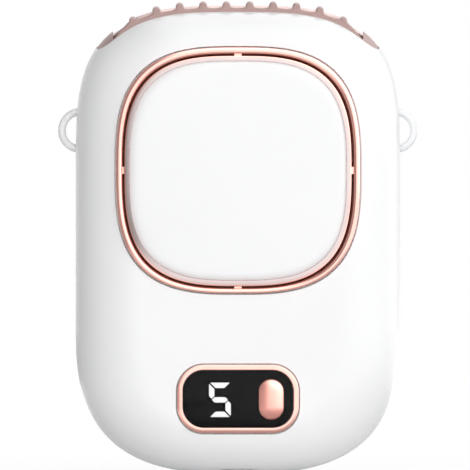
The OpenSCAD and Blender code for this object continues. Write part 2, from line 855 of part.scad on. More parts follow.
module power_button() {
    color("rosybrown") translate([button_x, 0, button_z]) {
        intersection() {
            pill(button_w, button_h, button_front_y - over, flange_y);
            translate([0, button_front_y + button_dome_r, -button_h])
                cylinder(r = button_dome_r, h = 2 * button_h);
        }
        pill(button_w, button_h, flange_y - over, flange_y);
        pill(button_w + 2 * flange_w, button_h + 2 * flange_w, flange_y, flange_y + flange_t);
    }
}

module switch_body() {
    color("dimgray") translate([button_x, 0, button_z]) difference() {
        block(-switch_size / 2, switch_size / 2, switch_front_y, board_y, -switch_size / 2, switch_size / 2);
        rod(switch_plunger_r + run_gap, switch_front_y - over, board_y - root);
    }
}

module switch_plunger() {
    color("black") translate([button_x, 0, button_z])
        rod(switch_plunger_r, flange_y + flange_t, board_y - root - button_travel - seat_gap);
}

module main_board() {
    color("green") difference() {
        slab([[-board_foot_half_w, board_low_z], [board_foot_half_w, board_low_z],
            [board_half_w, board_side_z], [board_half_w, board_top_z],
            [-board_half_w, board_top_z], [-board_half_w, board_side_z]], board_y, board_back_y);
        for (p = board_posts)
            translate([p[0], 0, p[1]]) rod(board_screw_r + button_gap, board_y - over, board_back_y + over);
    }
}

module board_chips() {
    color("black") for (c = chip_shares)
        let (at = on_board(c), size = board_half_w * [c[2], c[4], c[3]])
            translate([at[0] - size[0] / 2, board_back_y, at[1] - size[2] / 2]) cube(size);
}

module inductor() {
    at = on_board(coil_can_shares);
    color("gray") translate([at[0], 0, at[1]])
        rounded_plate(coil_can, coil_can, coil_corner_share * coil_can, board_back_y,
            board_back_y + coil_can_h);
}

module usb_socket_shell() {
    color("silver") translate([0, usb_y, usb_mouth_z]) difference() {
        linear_extrude(height = usb_l) socket_plan(usb_w, usb_t);
        translate([0, 0, -over]) linear_extrude(height = usb_l - usb_wall + over)
            socket_plan(usb_w - 2 * usb_wall, usb_t - 2 * usb_wall);
    }
}

module usb_socket_tongue() {
    sunk = usb_l * tongue_sunk_share;
    block_l = usb_l * tongue_block_share;
    inside = 2 * (usb_wall + seat_gap);
    color("black") translate([0, usb_y, usb_mouth_z]) {
        translate([-tongue_w / 2, -tongue_t / 2, sunk]) cube([tongue_w, tongue_t, usb_l - usb_wall - sunk]);
        translate([0, 0, usb_l - usb_wall - block_l]) linear_extrude(height = block_l)
            socket_plan(usb_w - inside, usb_t - inside);
    }
}

module lead_socket(at) {
    translate([at[0], 0, at[1]]) difference() {
        block(-socket_w / 2, socket_w / 2, board_back_y, board_back_y + socket_t,
            -socket_h / 2, socket_h / 2);
        for (s = [-1, 1])
            translate([s * socket_pitch, 0, 0])
                rod(lead_r + thread_gap, board_back_y + socket_t / 2, board_back_y + socket_t + over);
    }
}

module lead_sockets() {
    color("ivory") {
        lead_socket(battery_socket_at);
        lead_socket(motor_socket_at);
    }
}

// A pan-head screw that points to the front, with the underside of its head on the plane zero
module screw(r, l, head_r, head_h) {
    difference() {
        union() {
            rod(r, -l, 0);
            rod(head_r, 0, head_h);
        }
        for (a = [0, 90])
            rotate([0, a, 0]) block(-slot_share * head_r, slot_share * head_r, head_h / 2, head_h + over,
                -screw_slot, screw_slot);
    }
}

module board_screws() {
    color("silver") for (p = board_posts)
        translate([p[0], board_back_y, p[1]])
            screw(board_screw_r, board_screw_l, board_screw_head_r, screw_head_h);
}

module case_screws() {
    color("silver") for (p = case_screws_at)
        translate([p[0], case_seat_y, p[1]]) screw(case_screw_r, case_screw_l, case_head_r, case_head_h);
}

module fan_screws() {
    color("silver") for (p = fan_ears)
        translate([p[0], fan_plate_y, ring_z + p[1]]) rotate([0, 0, 180])
            screw(fan_screw_r, fan_screw_l, fan_head_r, fan_head_h);
}

module battery_cell() {
    w = battery_w;
    r = battery_edge_r;
    body_top = battery_z + battery_h - battery_strip_h;
    color("silver") {
        translate([0, battery_front_y + battery_t / 2, (battery_z + body_top) / 2])
            rotate([90, 0, 90])
                translate([0, 0, -w / 2]) linear_extrude(height = w)
                    rounded_rect(battery_t, body_top - battery_z, r);
        block(-w / 2 + r, w / 2 - r, battery_strip_y, battery_strip_y + battery_strip_t,
            body_top - root, battery_z + battery_h);
    }
}

module rounded_rect(w, h, r) {
    square([w, h - 2 * r], center = true);
    square([w - 2 * r, h], center = true);
    for (sx = [-1, 1], sy = [-1, 1]) translate([sx * (w / 2 - r), sy * (h / 2 - r)]) circle(r = r);
}

module battery_board() {
    color("green") block(-battery_board_w / 2, battery_board_w / 2, battery_strip_y - battery_board_t,
        battery_strip_y, battery_z + battery_h - battery_strip_h + seat_gap, battery_z + battery_h);
}

module battery_pad() {
    half = battery_w * pad_w_share / 2;
    color("dimgray") block(-half, half, battery_back_y, inner_back_y, battery_z + 2 * battery_edge_r,
        battery_z + battery_h - battery_strip_h - battery_edge_r);
}

// Radius of the scroll's inside at the angle a past its tongue, and the reach of an ear
function scroll_r(a) = scroll_r0 + (scroll_r1 - scroll_r0) * a / scroll_turn;
function ear_reach(e) = scroll_r(e[0] - scroll_start) + duct_wall + e[1] * fan_head_r;

// Outline of the scroll and the duct above it, grown by g and ending at the height top, as x and z.
// The grown outline starts behind the tongue, where the scroll's wall meets the duct's.
function scroll_outline(g, top) =
    let (a0 = atan(tongue_share * g / scroll_r0))
    concat(
        [for (i = [0 : scroll_steps])
            let (a = a0 + (scroll_turn - a0) * i / scroll_steps, r = scroll_r(a) + g)
                [r * cos(scroll_start + a), ring_z + r * sin(scroll_start + a)]],
        [[scroll_r1 + g, duct_shoulder_z], [duct_half_w + g, duct_top_z - duct_mouth_h],
            [duct_half_w + g, top], [-duct_half_w - g, top],
            [-duct_half_w - g, duct_top_z - duct_mouth_h - g * duct_corner_share]]);

module fan_housing() {
    color("gainsboro") difference() {
        union() {
            difference() {
                slab(scroll_outline(duct_wall, duct_top_z), fan_front_y, fan_plate_y + plate_t);
                slab(scroll_outline(0, duct_top_z + over), fan_front_y - over, fan_plate_y);
                translate([0, 0, ring_z]) difference() {
                    rod(back_inlet_r, fan_plate_y - over, fan_plate_y + plate_t + over);
                    rod(motor_pad_r, fan_plate_y - 2 * over, fan_plate_y + plate_t + 2 * over);
                    for (a = spoke_angles)
                        rotate([0, a, 0]) block(-2 * back_inlet_r, 2 * back_inlet_r, fan_plate_y - over,
                            fan_plate_y + plate_t + over, -spoke_w / 2, spoke_w / 2);
                }
            }
            for (e = fan_ear_shares) fan_ear(e[0], ear_reach(e));
            translate([0, 0, ring_z]) rod(tube_r, tube_front_y, fan_plate_y + plate_t);
        }
        for (p = fan_ears)
            translate([p[0], 0, ring_z + p[1]])
                rod(fan_screw_r + button_gap, fan_plate_y - over, fan_plate_y + plate_t + over);
        translate([0, 0, ring_z]) rod(bush_r + seat_gap, tube_front_y - over, fan_plate_y + plate_t + over);
        motor_lead_notch();
    }
}

// An ear beside the scroll, with a web back to the plate
module fan_ear(angle, reach) {
    web = ear_web_share * fan_ear_r;
    wall_r = scroll_r(angle - scroll_start) + duct_wall / 2;
    translate([0, 0, ring_z]) rotate([0, -angle, 0]) {
        translate([reach, 0, 0]) rod(fan_ear_r, fan_plate_y, fan_plate_y + plate_t);
        block(wall_r, reach - fan_ear_r / 2, fan_plate_y, fan_plate_y + plate_t, -web, web);
    }
}

module motor_lead_notch() {
    for (s = [-1, 1])
        translate([0, 0, ring_z]) rotate([0, -motor_lead_angle, 0])
            translate([motor_pad_r - motor_lead_in, 0, s * socket_pitch])
                rod(lead_r + seat_gap, fan_plate_y - over, fan_plate_y + plate_t + over);
}

module fan_cover() {
    color("gainsboro") difference() {
        union() {
            slab(scroll_outline(duct_wall, duct_top_z), fan_front_y - plate_t, fan_front_y);
            translate([0, 0, ring_z])
                rod(inlet_r + inlet_lip, fan_front_y - plate_t - inlet_lip, fan_front_y);
            for (a = clip_angles)
                translate([0, 0, ring_z]) rotate([0, -a, 0])
                    clip_leg(scroll_r(a - scroll_start) + duct_wall);
        }
        translate([0, 0, ring_z])
            rod(inlet_r, fan_front_y - plate_t - inlet_lip - over, fan_front_y + over);
    }
}

// A leg that snaps over the housing's wall, whose outside lies at the radius r
module clip_leg(r) {
    out = r + clip_gap + duct_wall;
    block(r - duct_wall, out, fan_front_y - plate_t, fan_front_y - seat_gap, -clip_w / 2, clip_w / 2);
    block(r + clip_gap, out, fan_front_y - plate_t, fan_front_y + clip_l, -clip_w / 2, clip_w / 2);
}

// Outline of a blade: an arc that leans forward as it leaves the inner radius
function blade_outline() =
    let (r0 = blade_inner_r, r1 = impeller_r - 2 * seat_gap, mid = [for (i = [0 : blade_steps])
        let (k = i / blade_steps, r = r0 + (r1 - r0) * k, a = blade_curve * pow(k, 2))
            [r, a]])
    concat(
        [for (m = mid) polar(m[0], m[1], -blade_t / 2)],
        [for (i = [blade_steps : -1 : 0]) polar(mid[i][0], mid[i][1], blade_t / 2)]);

function polar(r, a, off) = [r * cos(a) - off * sin(a), r * sin(a) + off * cos(a)];

module impeller() {
    color("whitesmoke") translate([0, 0, ring_z]) {
        ring_of(impeller_r, impeller_r - impeller_ring_w, impeller_front_y,
            impeller_front_y + impeller_ring_t);
        ring_of(impeller_r, impeller_r - impeller_ring_w, impeller_back_y - impeller_ring_t,
            impeller_back_y);
        ring_of(impeller_r - impeller_ring_w / 2, hub_r - hub_t / 2, disc_y, disc_y + disc_t);
        difference() {
            rod(hub_r, hub_front_y, hub_back_y);
            rod(hub_r - hub_t, hub_front_y + hub_t, hub_back_y + over);
            rod(shaft_r + cup_gap, hub_front_y - over, hub_front_y + over + hub_t);
        }
        for (i = [0 : blade_count - 1])
            rotate([0, 360 * i / blade_count, 0])
                slab(blade_outline(), impeller_front_y + impeller_ring_t / 2,
                    impeller_back_y - impeller_ring_t / 2);
    }
}

module rotor_cup() {
    color("silver") translate([0, 0, ring_z]) difference() {
        rod(cup_r, cup_front_y, cup_back_y);
        rod(cup_r - cup_t, cup_front_y + cup_t, cup_back_y + over);
        rod(shaft_r, cup_front_y - over, cup_front_y + over);
    }
}

module rotor_magnet() {
    color("dimgray") translate([0, 0, ring_z])
        ring_of(magnet_r, magnet_r - magnet_t, magnet_front_y, magnet_back_y);
}

module motor_shaft() {
    color("silver") translate([0, 0, ring_z]) difference() {
        rod(shaft_r, cup_front_y - hub_t - cup_gap, shaft_back_y);
        ring_of(shaft_r + over, groove_r, groove_y, groove_y + clip_t + 2 * seat_gap);
    }
}

module shaft_clip() {
    color("black") translate([0, 0, ring_z])
        ring_of(clip_r, groove_r + seat_gap, groove_y + seat_gap, groove_y + seat_gap + clip_t);
}

module bearing_bush() {
    color("goldenrod") translate([0, 0, ring_z])
        ring_of(bush_r, shaft_r + run_gap, bush_front_y, fan_plate_y + plate_t);
}

module stator_core() {
    y0 = stator_y - stator_h / 2;
    y1 = stator_y + stator_h / 2;
    color("slategray") translate([0, 0, ring_z]) {
        ring_of(tube_r + seat_gap + stator_ring_t, tube_r + seat_gap, y0, y1);
        for (i = [0 : stator_teeth - 1]) rotate([0, 360 * i / stator_teeth, 0]) {
            block(tube_r + stator_ring_t / 2, stator_r - tooth_tip_t / 2, y0, y1, -tooth_w / 2, tooth_w / 2);
            translate([0, y1, 0]) rotate([90, 0, 0]) rotate([0, 0, -tooth_tip_angle / 2])
                rotate_extrude(angle = tooth_tip_angle)
                    translate([stator_r - tooth_tip_t, 0]) square([tooth_tip_t, y1 - y0]);
        }
    }
}

module stator_coils() {
    grow = coil_gap / 2;
    y0 = stator_y - stator_h / 2 - grow;
    y1 = stator_y + stator_h / 2 + grow;
    r0 = tube_r + seat_gap + stator_ring_t + coil_gap;
    r1 = stator_r - tooth_tip_t - coil_gap;
    half = tooth_w / 2 + grow;
    color("chocolate") translate([0, 0, ring_z])
        for (i = [0 : stator_teeth - 1]) rotate([0, 360 * i / stator_teeth, 0])
            difference() {
                block(r0, r1, y0 - coil_t, y1 + coil_t, -half - coil_t, half + coil_t);
                block(r0 - over, r1 + over, y0, y1, -half, half);
            }
}

module motor_board() {
    color("green") translate([0, 0, ring_z])
        ring_of(motor_board_r, tube_r + seat_gap, motor_board_y, motor_board_y + motor_board_t);
}

module lanyard_loop_left() {
    color("gainsboro") lanyard_loop(-1, 0);
}

module lanyard_loop_right() {
    color("gainsboro") lanyard_loop(1, 0);
}

function unit(v) = v / norm(v);

// A route of points with each corner rounded off, from the distance bend before it to as far behind
function bent(route, bend) = concat(
    [route[0]],
    [for (i = [1 : len(route) - 2], j = [0 : lead_steps])
        let (p = route[i], a = p + bend * unit(route[i - 1] - p), b = p + bend * unit(route[i + 1] - p),
            t = j / lead_steps)
            pow(1 - t, 2) * a + 2 * t * (1 - t) * p + pow(t, 2) * b],
    [route[len(route) - 1]]);

// A round lead along a route
module lead(route, bend) {
    path = bent(route, bend);
    last = len(path) - 1;
    rows = [
        for (i = [0 : last])
            let (t = unit(path[min(last, i + 1)] - path[max(0, i - 1)]),
                side = abs(t[0]) > 0.9 ? [0, 0, 1] : [1, 0, 0],
                u = unit(cross(t, side)), v = cross(t, u))
                [for (k = [0 : lead_sides - 1])
                    let (a = 360 * k / lead_sides)
                        path[i] + lead_r * (cos(a) * u + sin(a) * v)]
    ];
    lofted(rows, false);
}

// Where a lead enters its socket, at the side s of the socket's middle
function socket_entry(at, s) = [at[0] + s * socket_pitch, board_back_y + socket_t / 2 + seat_gap, at[1]];

module battery_lead(s) {
    from = socket_entry(battery_socket_at, s);
    to = [from[0] + battery_lead_aside, battery_strip_y - battery_board_t,
        battery_z + battery_h - battery_strip_h / 2];
    front = (from[1] + to[1]) / 2;
    lead([from, [from[0], front, from[2]], [to[0], front, to[2]], to], battery_bend);
}

module battery_lead_red() {
    color("red") battery_lead(1);
}

module battery_lead_black() {
    color("black") battery_lead(-1);
}

module motor_lead(s) {
    from = socket_entry(motor_socket_at, s);
    a = motor_lead_angle;
    r = motor_pad_r - motor_lead_in;
    to = [r * cos(a) - s * socket_pitch * sin(a), motor_board_y + motor_board_t,
        ring_z + r * sin(a) + s * socket_pitch * cos(a)];
    behind = fan_plate_y + plate_t + 4 * lead_r;
    aside = battery_w / 2 + battery_rib_gap + battery_rib_t + 3 * lead_r + s * lead_apart[0];
    low = battery_z + battery_h - battery_strip_h + s * lead_apart[1];
    front = board_back_y + socket_t + 4 * lead_r;
    lead([from, [from[0], front, from[2]], [aside, front, low], [aside, behind, low],
        [battery_w / 4 + s * lead_apart_high, behind, low + 4 * motor_bend],
        [to[0], behind, to[2]], to], motor_bend);
}

module motor_lead_red() {
    color("red") motor_lead(1);
}

module motor_lead_black() {
    color("black") motor_lead(-1);
}

front_shell();
rear_shell();
intake_ring();
centre_cover();
outlet_grille();
outlet_gasket();
display_bezel();
display_window();
display_module();
lit_segments();
unlit_segments();
power_button();
switch_body();
switch_plunger();
main_board();
board_chips();
inductor();
usb_socket_shell();
usb_socket_tongue();
lead_sockets();
board_screws();
battery_cell();
battery_board();
battery_pad();
battery_lead_red();
battery_lead_black();
fan_housing();
fan_cover();
impeller();
rotor_cup();
rotor_magnet();
motor_shaft();
shaft_clip();
bearing_bush();
stator_core();
stator_coils();
motor_board();
motor_lead_red();
motor_lead_black();
fan_screws();
case_screws();
lanyard_loop_left();
lanyard_loop_right();
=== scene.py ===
import json

import bpy
import numpy as np
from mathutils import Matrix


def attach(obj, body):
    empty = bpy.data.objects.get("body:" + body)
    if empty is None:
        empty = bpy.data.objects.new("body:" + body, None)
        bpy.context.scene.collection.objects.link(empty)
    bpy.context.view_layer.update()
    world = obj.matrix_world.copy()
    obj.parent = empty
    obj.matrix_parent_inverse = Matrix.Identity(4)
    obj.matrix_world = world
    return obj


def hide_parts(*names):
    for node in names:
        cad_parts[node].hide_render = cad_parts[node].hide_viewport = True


# Lengths are in millimetres up to the mesh, where they become metres
mm = 0.001
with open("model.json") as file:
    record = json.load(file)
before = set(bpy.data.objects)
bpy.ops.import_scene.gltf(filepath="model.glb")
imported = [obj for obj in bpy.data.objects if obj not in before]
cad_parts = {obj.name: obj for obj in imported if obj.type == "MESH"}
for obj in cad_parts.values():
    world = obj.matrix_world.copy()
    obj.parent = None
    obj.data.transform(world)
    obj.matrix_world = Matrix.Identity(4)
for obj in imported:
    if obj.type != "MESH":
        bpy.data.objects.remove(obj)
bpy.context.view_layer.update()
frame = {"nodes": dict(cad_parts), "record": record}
print("frame:", len(frame["nodes"]), "nodes loaded")

body = {"width": 70.4, "crown": 101.2, "topCorner": 34.3, "bottomCorner": 32.0, "footCut": 0.3,
        "topPower": 3.3, "bottomPower": 2.8, "columns": 288, "rows": 30, "innerRows": 12,
        "turnPoints": 20001, "sidePoints": 2001, "halvings": 30, "parting": 0.5, "wall": 2.0, "seam": 0.14}
frontHalf = {"waist": -1.0, "face": -15.0, "side": 14.0, "end": 10.0, "power": 2.1, "inner": -13.0,
             "innerFrom": -1.2, "lap": 1.0, "lapEnd": -1.1, "way": -1}
rearHalf = {"waist": 2.0, "face": 16.5, "side": 13.0, "end": 10.0, "power": 2.2, "inner": 14.5,
            "innerFrom": 2.0, "lap": 1.1, "lapEnd": -1.0, "way": 1}
cutFront, cutBack = -18.0, -11.0  # depths between which the front's holes are cut
padPoints = 400  # dense points on each corner and side of a rounded rectangle


# Meshes from grids

def loft(rows, closed=False):
    # Quads join column c and c+1 of row r to those of row r+1, the last column to the first;
    # the end rows are capped, or joined to each other when closed. A negative volume turns all faces round.
    rows = np.asarray(rows, float)
    n, m = rows.shape[:2]
    r = np.arange(n if closed else n - 1)[:, None]
    c = np.arange(m)[None, :]
    below, right = (r + 1) % n, (c + 1) % m
    corners = np.broadcast_arrays(r * m + c, r * m + right, below * m + right, below * m + c)
    quads = np.stack(corners, -1).reshape(-1, 4)
    points = rows.reshape(-1, 3)
    caps = [] if closed else [np.arange(m)[::-1], (n - 1) * m + np.arange(m)]
    a, b, d, e = (points[quads[:, i]] for i in range(4))
    volume = (np.cross(b, d) * a).sum() + (np.cross(d, e) * a).sum()
    for cap in caps:
        p = points[cap]
        volume += (np.cross(p[1:-1], p[2:]) * p[0]).sum()
    if volume < 0:
        quads, caps = quads[:, ::-1], [cap[::-1] for cap in caps]
    return points, quads, caps


def meshOf(name, solids):
    # Vertices and faces of the solids one after another
    points, faces, start = [], [], 0
    for p, quads, caps in solids:
        points.append(p * mm)
        faces += (quads + start).tolist() + [(cap + start).tolist() for cap in caps]
        start += len(p)
    mesh = bpy.data.meshes.new(name)
    mesh.from_pydata(np.concatenate(points), [], faces)
    mesh.update()
    return mesh


def newPiece(name, solids):
    # An object at the origin with the solids as its mesh
    piece = bpy.data.objects.new(name, meshOf(name, solids))
    bpy.context.scene.collection.objects.link(piece)
    return piece


def combine(piece, solids, operation):
    # The piece with the solids cut from it or united with it, applied to its mesh
    tool = newPiece(piece.name + "Tool", solids)
    step = piece.modifiers.new("combine", "BOOLEAN")
    step.operation, step.solver, step.object = operation, "EXACT", tool
    shaped = piece.evaluated_get(bpy.context.evaluated_depsgraph_get())
    mesh = bpy.data.meshes.new_from_object(shaped)
    piece.modifiers.clear()
    old, toolMesh, piece.data = piece.data, tool.data, mesh
    mesh.name = piece.name
    bpy.data.objects.remove(tool)
    bpy.data.meshes.remove(toolMesh)
    bpy.data.meshes.remove(old)


def complete(piece, slotName, bodyName, replaced, sharp=32, weighted=False, finish=None):
    # Smooth faces with sharp edges past the angle in degrees; the piece takes its finish, rides its body
    # and stands for its nodes
    mesh = piece.data
    mesh.shade_smooth()
    mesh.set_sharp_from_angle(angle=np.radians(sharp))
    mesh.materials.clear()
    mesh.materials.append(finishes[finish or slotName])
    if weighted:
        step = piece.modifiers.new("flatNormals", "WEIGHTED_NORMAL")
        step.keep_sharp = True
    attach(piece, bodyName)
    if replaced:
        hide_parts(*replaced)
    print("piece:", piece.name, len(mesh.polygons), "faces")


# Outlines

def evenSamples(x, z, count):
    # Places along a closed curve of dense points, evenly spaced by length
    length = np.concatenate([[0], np.cumsum(np.hypot(np.diff(x, append=x[0]), np.diff(z, append=z[0])))])
    return np.interp(np.arange(count) / count * length[-1], length, np.arange(len(x) + 1))


def sampled(values, places):
    # The values of a closed curve at the places, straight between its points
    return np.interp(places, np.arange(len(values) + 1), np.append(values, values[0]))


def bodyStations(count):
    # Corners |cos|^(2/n) by sin^(2/n) with straight sides between: each station's share across,
    # the height it hangs from, and its shares up and down from there
    turn = np.linspace(0, np.pi, body["turnPoints"])
    side = np.linspace(0, 1, body["sidePoints"])[1:-1]
    across, rise = [], []
    for power in (body["topPower"], body["bottomPower"]):
        across.append(np.sign(np.cos(turn)) * np.abs(np.cos(turn)) ** (2 / power))
        rise.append(np.clip(np.sin(turn), 0, 1) ** (2 / power))
    high, low = body["crown"] - body["topCorner"], body["bottomCorner"]
    none, flat = np.zeros_like(side), np.zeros_like(turn)
    u = np.concatenate([across[0], none - 1, -across[1], none + 1])
    hang = np.concatenate([flat + high, high + (low - high) * side,
                           flat + low, low + (high - low) * side])
    up = np.concatenate([rise[0], none, flat, none])
    down = np.concatenate([flat, none, rise[1], none])
    places = evenSamples(u * body["width"] / 2, hang + up * body["topCorner"] - down * low, count)
    return [sampled(v, places) for v in (u, hang, up, down)]


def bodyRow(stations, y, side, end, standing):
    # The body's outline at the depth y, drawn in by side and end, with the foot cut flat when standing
    u, hang, up, down = stations
    z = hang + up * (body["topCorner"] - end) - down * (body["bottomCorner"] + body["footCut"] - end)
    return np.stack([u * (body["width"] / 2 - side), 0 * u + y, np.maximum(z, 0) if standing else z], -1)


def roundingRows(stations, half, start, face, wall, count, standing):
    # From the start to the face: the depth goes as sin^(2/n) of a quarter turn, and the inset as
    # 1 - cos^(2/n) of it
    a = np.linspace(0, np.pi / 2, count)
    depth, inset = np.sin(a) ** (2 / half["power"]), 1 - np.cos(a) ** (2 / half["power"])
    return [bodyRow(stations, start + (face - start) * t, wall + (half["side"] - wall) * k,
                    wall + (half["end"] - wall) * k, standing) for t, k in zip(depth, inset)]


def surfaceDepth(x, z, half):
    # Bisection for the share k of the rounding whose outline passes through x and z; its depth share is
    # the nth root of 1 - (1 - k)^n
    high, low = body["crown"] - body["topCorner"], body["bottomCorner"]
    power = np.where(z > high, body["topPower"], body["bottomPower"])
    reach = np.where(z > high, body["topCorner"], body["bottomCorner"] + body["footCut"])
    away = np.maximum(np.maximum(z - high, low - z), 0)
    least, most = np.zeros(x.shape), np.ones(x.shape)
    for _ in range(body["halvings"]):
        k = (least + most) / 2
        value = ((np.abs(x) / (body["width"] / 2 - k * half["side"])) ** power
                 + (away / (reach - k * half["end"])) ** power)
        least, most = np.where(value <= 1, k, least), np.where(value <= 1, most, k)
    share = (1 - (1 - least) ** half["power"]) ** (1 / half["power"])
    return half["waist"] + (half["face"] - half["waist"]) * share


def topAt(x, y, g):
    # Height of the shells' top over x and y, grown by g: the corner's height times (1 - (x / half)^n)^(1/n),
    # with its height and half width drawn in by the rounding's inset at this depth
    front = y < frontHalf["waist"]
    pick = lambda key: np.where(front, frontHalf[key], rearHalf[key])
    depth = np.abs(y - pick("waist")) / (np.abs(pick("face") - pick("waist")) + g)
    depth = np.where((y > frontHalf["waist"]) & (y < rearHalf["waist"]), 0, np.clip(depth, 0, 1))
    k = 1 - (1 - depth ** pick("power")) ** (1 / pick("power"))
    half = body["width"] / 2 + g - k * pick("side")
    rise = body["topCorner"] + g - k * pick("end")
    n = body["topPower"]
    inside = np.clip(1 - np.clip(np.abs(x) / half, 0, 1) ** n, 0, 1)
    return body["crown"] - body["topCorner"] + rise * inside ** (1 / n)


def padStations(halfWidth, halfHeight, radius, count):
    # Rectangle with round corners: the corner centres the outline is offset from, the way of the offset,
    # with straights between them, evenly spaced by length
    cx, cz = halfWidth - radius, halfHeight - radius
    signs = [(1, 1), (-1, 1), (-1, -1), (1, -1)]
    centreX, centreZ, angle = [], [], []
    share = np.linspace(0, 1, padPoints, endpoint=False)
    for q, (sx, sz) in enumerate(signs):
        nx, nz = signs[(q + 1) % 4]
        centreX += [share * 0 + sx * cx, sx * cx + (nx - sx) * cx * share]
        centreZ += [share * 0 + sz * cz, sz * cz + (nz - sz) * cz * share]
        angle += [(q + share) * np.pi / 2, share * 0 + (q + 1) * np.pi / 2]
    centreX, centreZ, angle = (np.concatenate(v) for v in (centreX, centreZ, angle))
    wayX, wayZ = np.cos(angle), np.sin(angle)
    places = evenSamples(centreX + radius * wayX, centreZ + radius * wayZ, count)
    return [sampled(v, places) for v in (centreX, centreZ, wayX, wayZ)] + [radius]


def padRow(stations, inset, at, centre=(0, 0), plan=False):
    # The rectangle's outline drawn in by inset, at a depth, or at a height in plan
    cx, cz, wayX, wayZ, radius = stations
    u = centre[0] + cx + (radius - inset) * wayX
    v = centre[1] + cz + (radius - inset) * wayZ
    return np.stack([u, v, at + 0 * u] if plan else [u, at + 0 * u, v], -1)


def quarter(count):
    # Sine, and one less the cosine, over a quarter turn
    a = np.linspace(0, np.pi / 2, count)
    return np.sin(a), 1 - np.cos(a)


# Materials

def link(tree, source, target):
    # One socket's value into another
    tree.links.new(source, target)


def node(tree, kind, **values):
    # A node of the kind; each value sets its property, or else its input of that name
    made = tree.nodes.new(kind)
    for key, value in values.items():
        if hasattr(made, key):
            setattr(made, key, value)
        else:
            made.inputs[key.replace("_", " ")].default_value = value
    return made


def pattern(tree, place, kind, scale, stretch=(1, 1, 1), turn=(0, 0, 0), detail=2.0, distortion=0.0):
    # A noise, cell or wave pattern on the stretched and turned place, as its value from 0 to 1
    lie = node(tree, "ShaderNodeMapping")
    lie.inputs["Scale"].default_value = stretch
    lie.inputs["Rotation"].default_value = turn
    link(tree, place, lie.inputs["Vector"])
    if kind == "cells":
        made = node(tree, "ShaderNodeTexVoronoi", Scale=scale)
        link(tree, lie.outputs["Vector"], made.inputs["Vector"])
        return made.outputs["Distance"]
    if kind == "wave":
        made = node(tree, "ShaderNodeTexWave", Scale=scale, Distortion=distortion, Detail=detail)
        link(tree, lie.outputs["Vector"], made.inputs["Vector"])
        return made.outputs["Fac"]
    made = node(tree, "ShaderNodeTexNoise", Scale=scale, Detail=detail, Distortion=distortion)
    link(tree, lie.outputs["Vector"], made.inputs["Vector"])
    return made.outputs["Fac"]


def blended(tree, share, first, second):
    # The first to the second by the share: both are colours, or each is a number or a socket
    kind, dataType = ("RGBA", "RGBA") if isinstance(first, tuple) else ("VALUE", "FLOAT")
    step = node(tree, "ShaderNodeMix", data_type=dataType)
    link(tree, share, step.inputs["Factor"])
    ends = [socket for socket in step.inputs if socket.type == kind and socket.name in ("A", "B")]
    for socket, value in zip(ends, (first, second)):
        if isinstance(value, (float, tuple)):
            socket.default_value = value
        else:
            link(tree, value, socket)
    return next(socket for socket in step.outputs if socket.type == kind)


def makeFinish(name, colours, roughness, tone, grain, bump=0.1, height=0.00002, contrast=(0.35, 0.65),
               **sockets):
    # The colour runs between its two values by the tone pattern, the roughness by the grain pattern,
    # and the grain is also the bump's height, in metres
    made = bpy.data.materials.new(name)
    made.use_nodes = True
    tree = made.node_tree
    shader = tree.nodes["Principled BSDF"]
    place = node(tree, "ShaderNodeTexCoord").outputs["Object"]
    spread = node(tree, "ShaderNodeMapRange", From_Min=contrast[0], From_Max=contrast[1])
    link(tree, pattern(tree, place, **tone), spread.inputs["Value"])
    colour = blended(tree, spread.outputs["Result"], (*colours[0], 1), (*colours[1], 1))
    link(tree, colour, shader.inputs["Base Color"])
    rough = node(tree, "ShaderNodeMapRange", To_Min=roughness[0], To_Max=roughness[1])
    grainValue = pattern(tree, place, **grain)
    link(tree, grainValue, rough.inputs["Value"])
    link(tree, rough.outputs["Result"], shader.inputs["Roughness"])
    relief = node(tree, "ShaderNodeBump", Strength=bump, Distance=height)
    link(tree, grainValue, relief.inputs["Height"])
    link(tree, relief.outputs["Normal"], shader.inputs["Normal"])
    for key, value in sockets.items():
        shader.inputs[key.replace("_", " ")].default_value = value
    finishes[name] = made


finishes = {}
noise = lambda scale, **more: {"kind": "noise", "scale": scale, **more}
cells = lambda scale: {"kind": "cells", "scale": scale}
wave = lambda scale, **more: {"kind": "wave", "scale": scale, **more}
standing = (0, 0, 1.5708)  # a wave's turn that stands its bands up
makeFinish("white_plastic", [(0.878, 0.882, 0.89), (0.888, 0.891, 0.898)], (0.18, 0.24), noise(60.0),
           noise(1600.0, detail=3.0), bump=0.05, Coat_Weight=0.15, Coat_Roughness=0.08)
makeFinish("rose_gold", [(0.76, 0.41, 0.35), (0.78, 0.43, 0.37)], (0.1, 0.17), noise(140.0),
           noise(2600.0, detail=3.0), bump=0.04, Metallic=1.0)
makeFinish("pale_rose_gold", [(0.45, 0.375, 0.367), (0.47, 0.392, 0.384)], (0.14, 0.2), noise(140.0),
           noise(2600.0, detail=3.0), bump=0.04, Metallic=1.0)
# A darker, dull copy of the rose gold, painted on the ring slot's walls as painted shade
makeFinish("dull_rose_gold", [(0.36, 0.12, 0.085), (0.42, 0.14, 0.1)], (0.5, 0.62), noise(180.0),
           noise(2400.0, detail=4.0), bump=0.1)
makeFinish("grille_rose_gold", [(0.4, 0.255, 0.236), (0.425, 0.272, 0.252)], (0.3, 0.4), noise(180.0),
           noise(2400.0, detail=4.0), bump=0.12)
# A lighter, partly metallic copy of the grille's finish: a painted highlight on the rear lip's forward faces
makeFinish("lip_rose_gold", [(0.41, 0.305, 0.287), (0.5, 0.38, 0.36)], (0.22, 0.32), noise(400.0),
           noise(2400.0, detail=4.0), bump=0.08, Metallic=0.6)
makeFinish("satin_rose_gold", [(0.92, 0.425, 0.36), (0.94, 0.445, 0.375)], (0.33, 0.4), noise(260.0),
           noise(900.0, stretch=(6, 1, 0.15), detail=4.0), bump=0.08, Metallic=1.0)
makeFinish("foam", [(0.03, 0.03, 0.032), (0.07, 0.07, 0.073)], (0.85, 0.98), cells(1400.0),
           cells(1600.0), bump=0.8, height=0.0002)
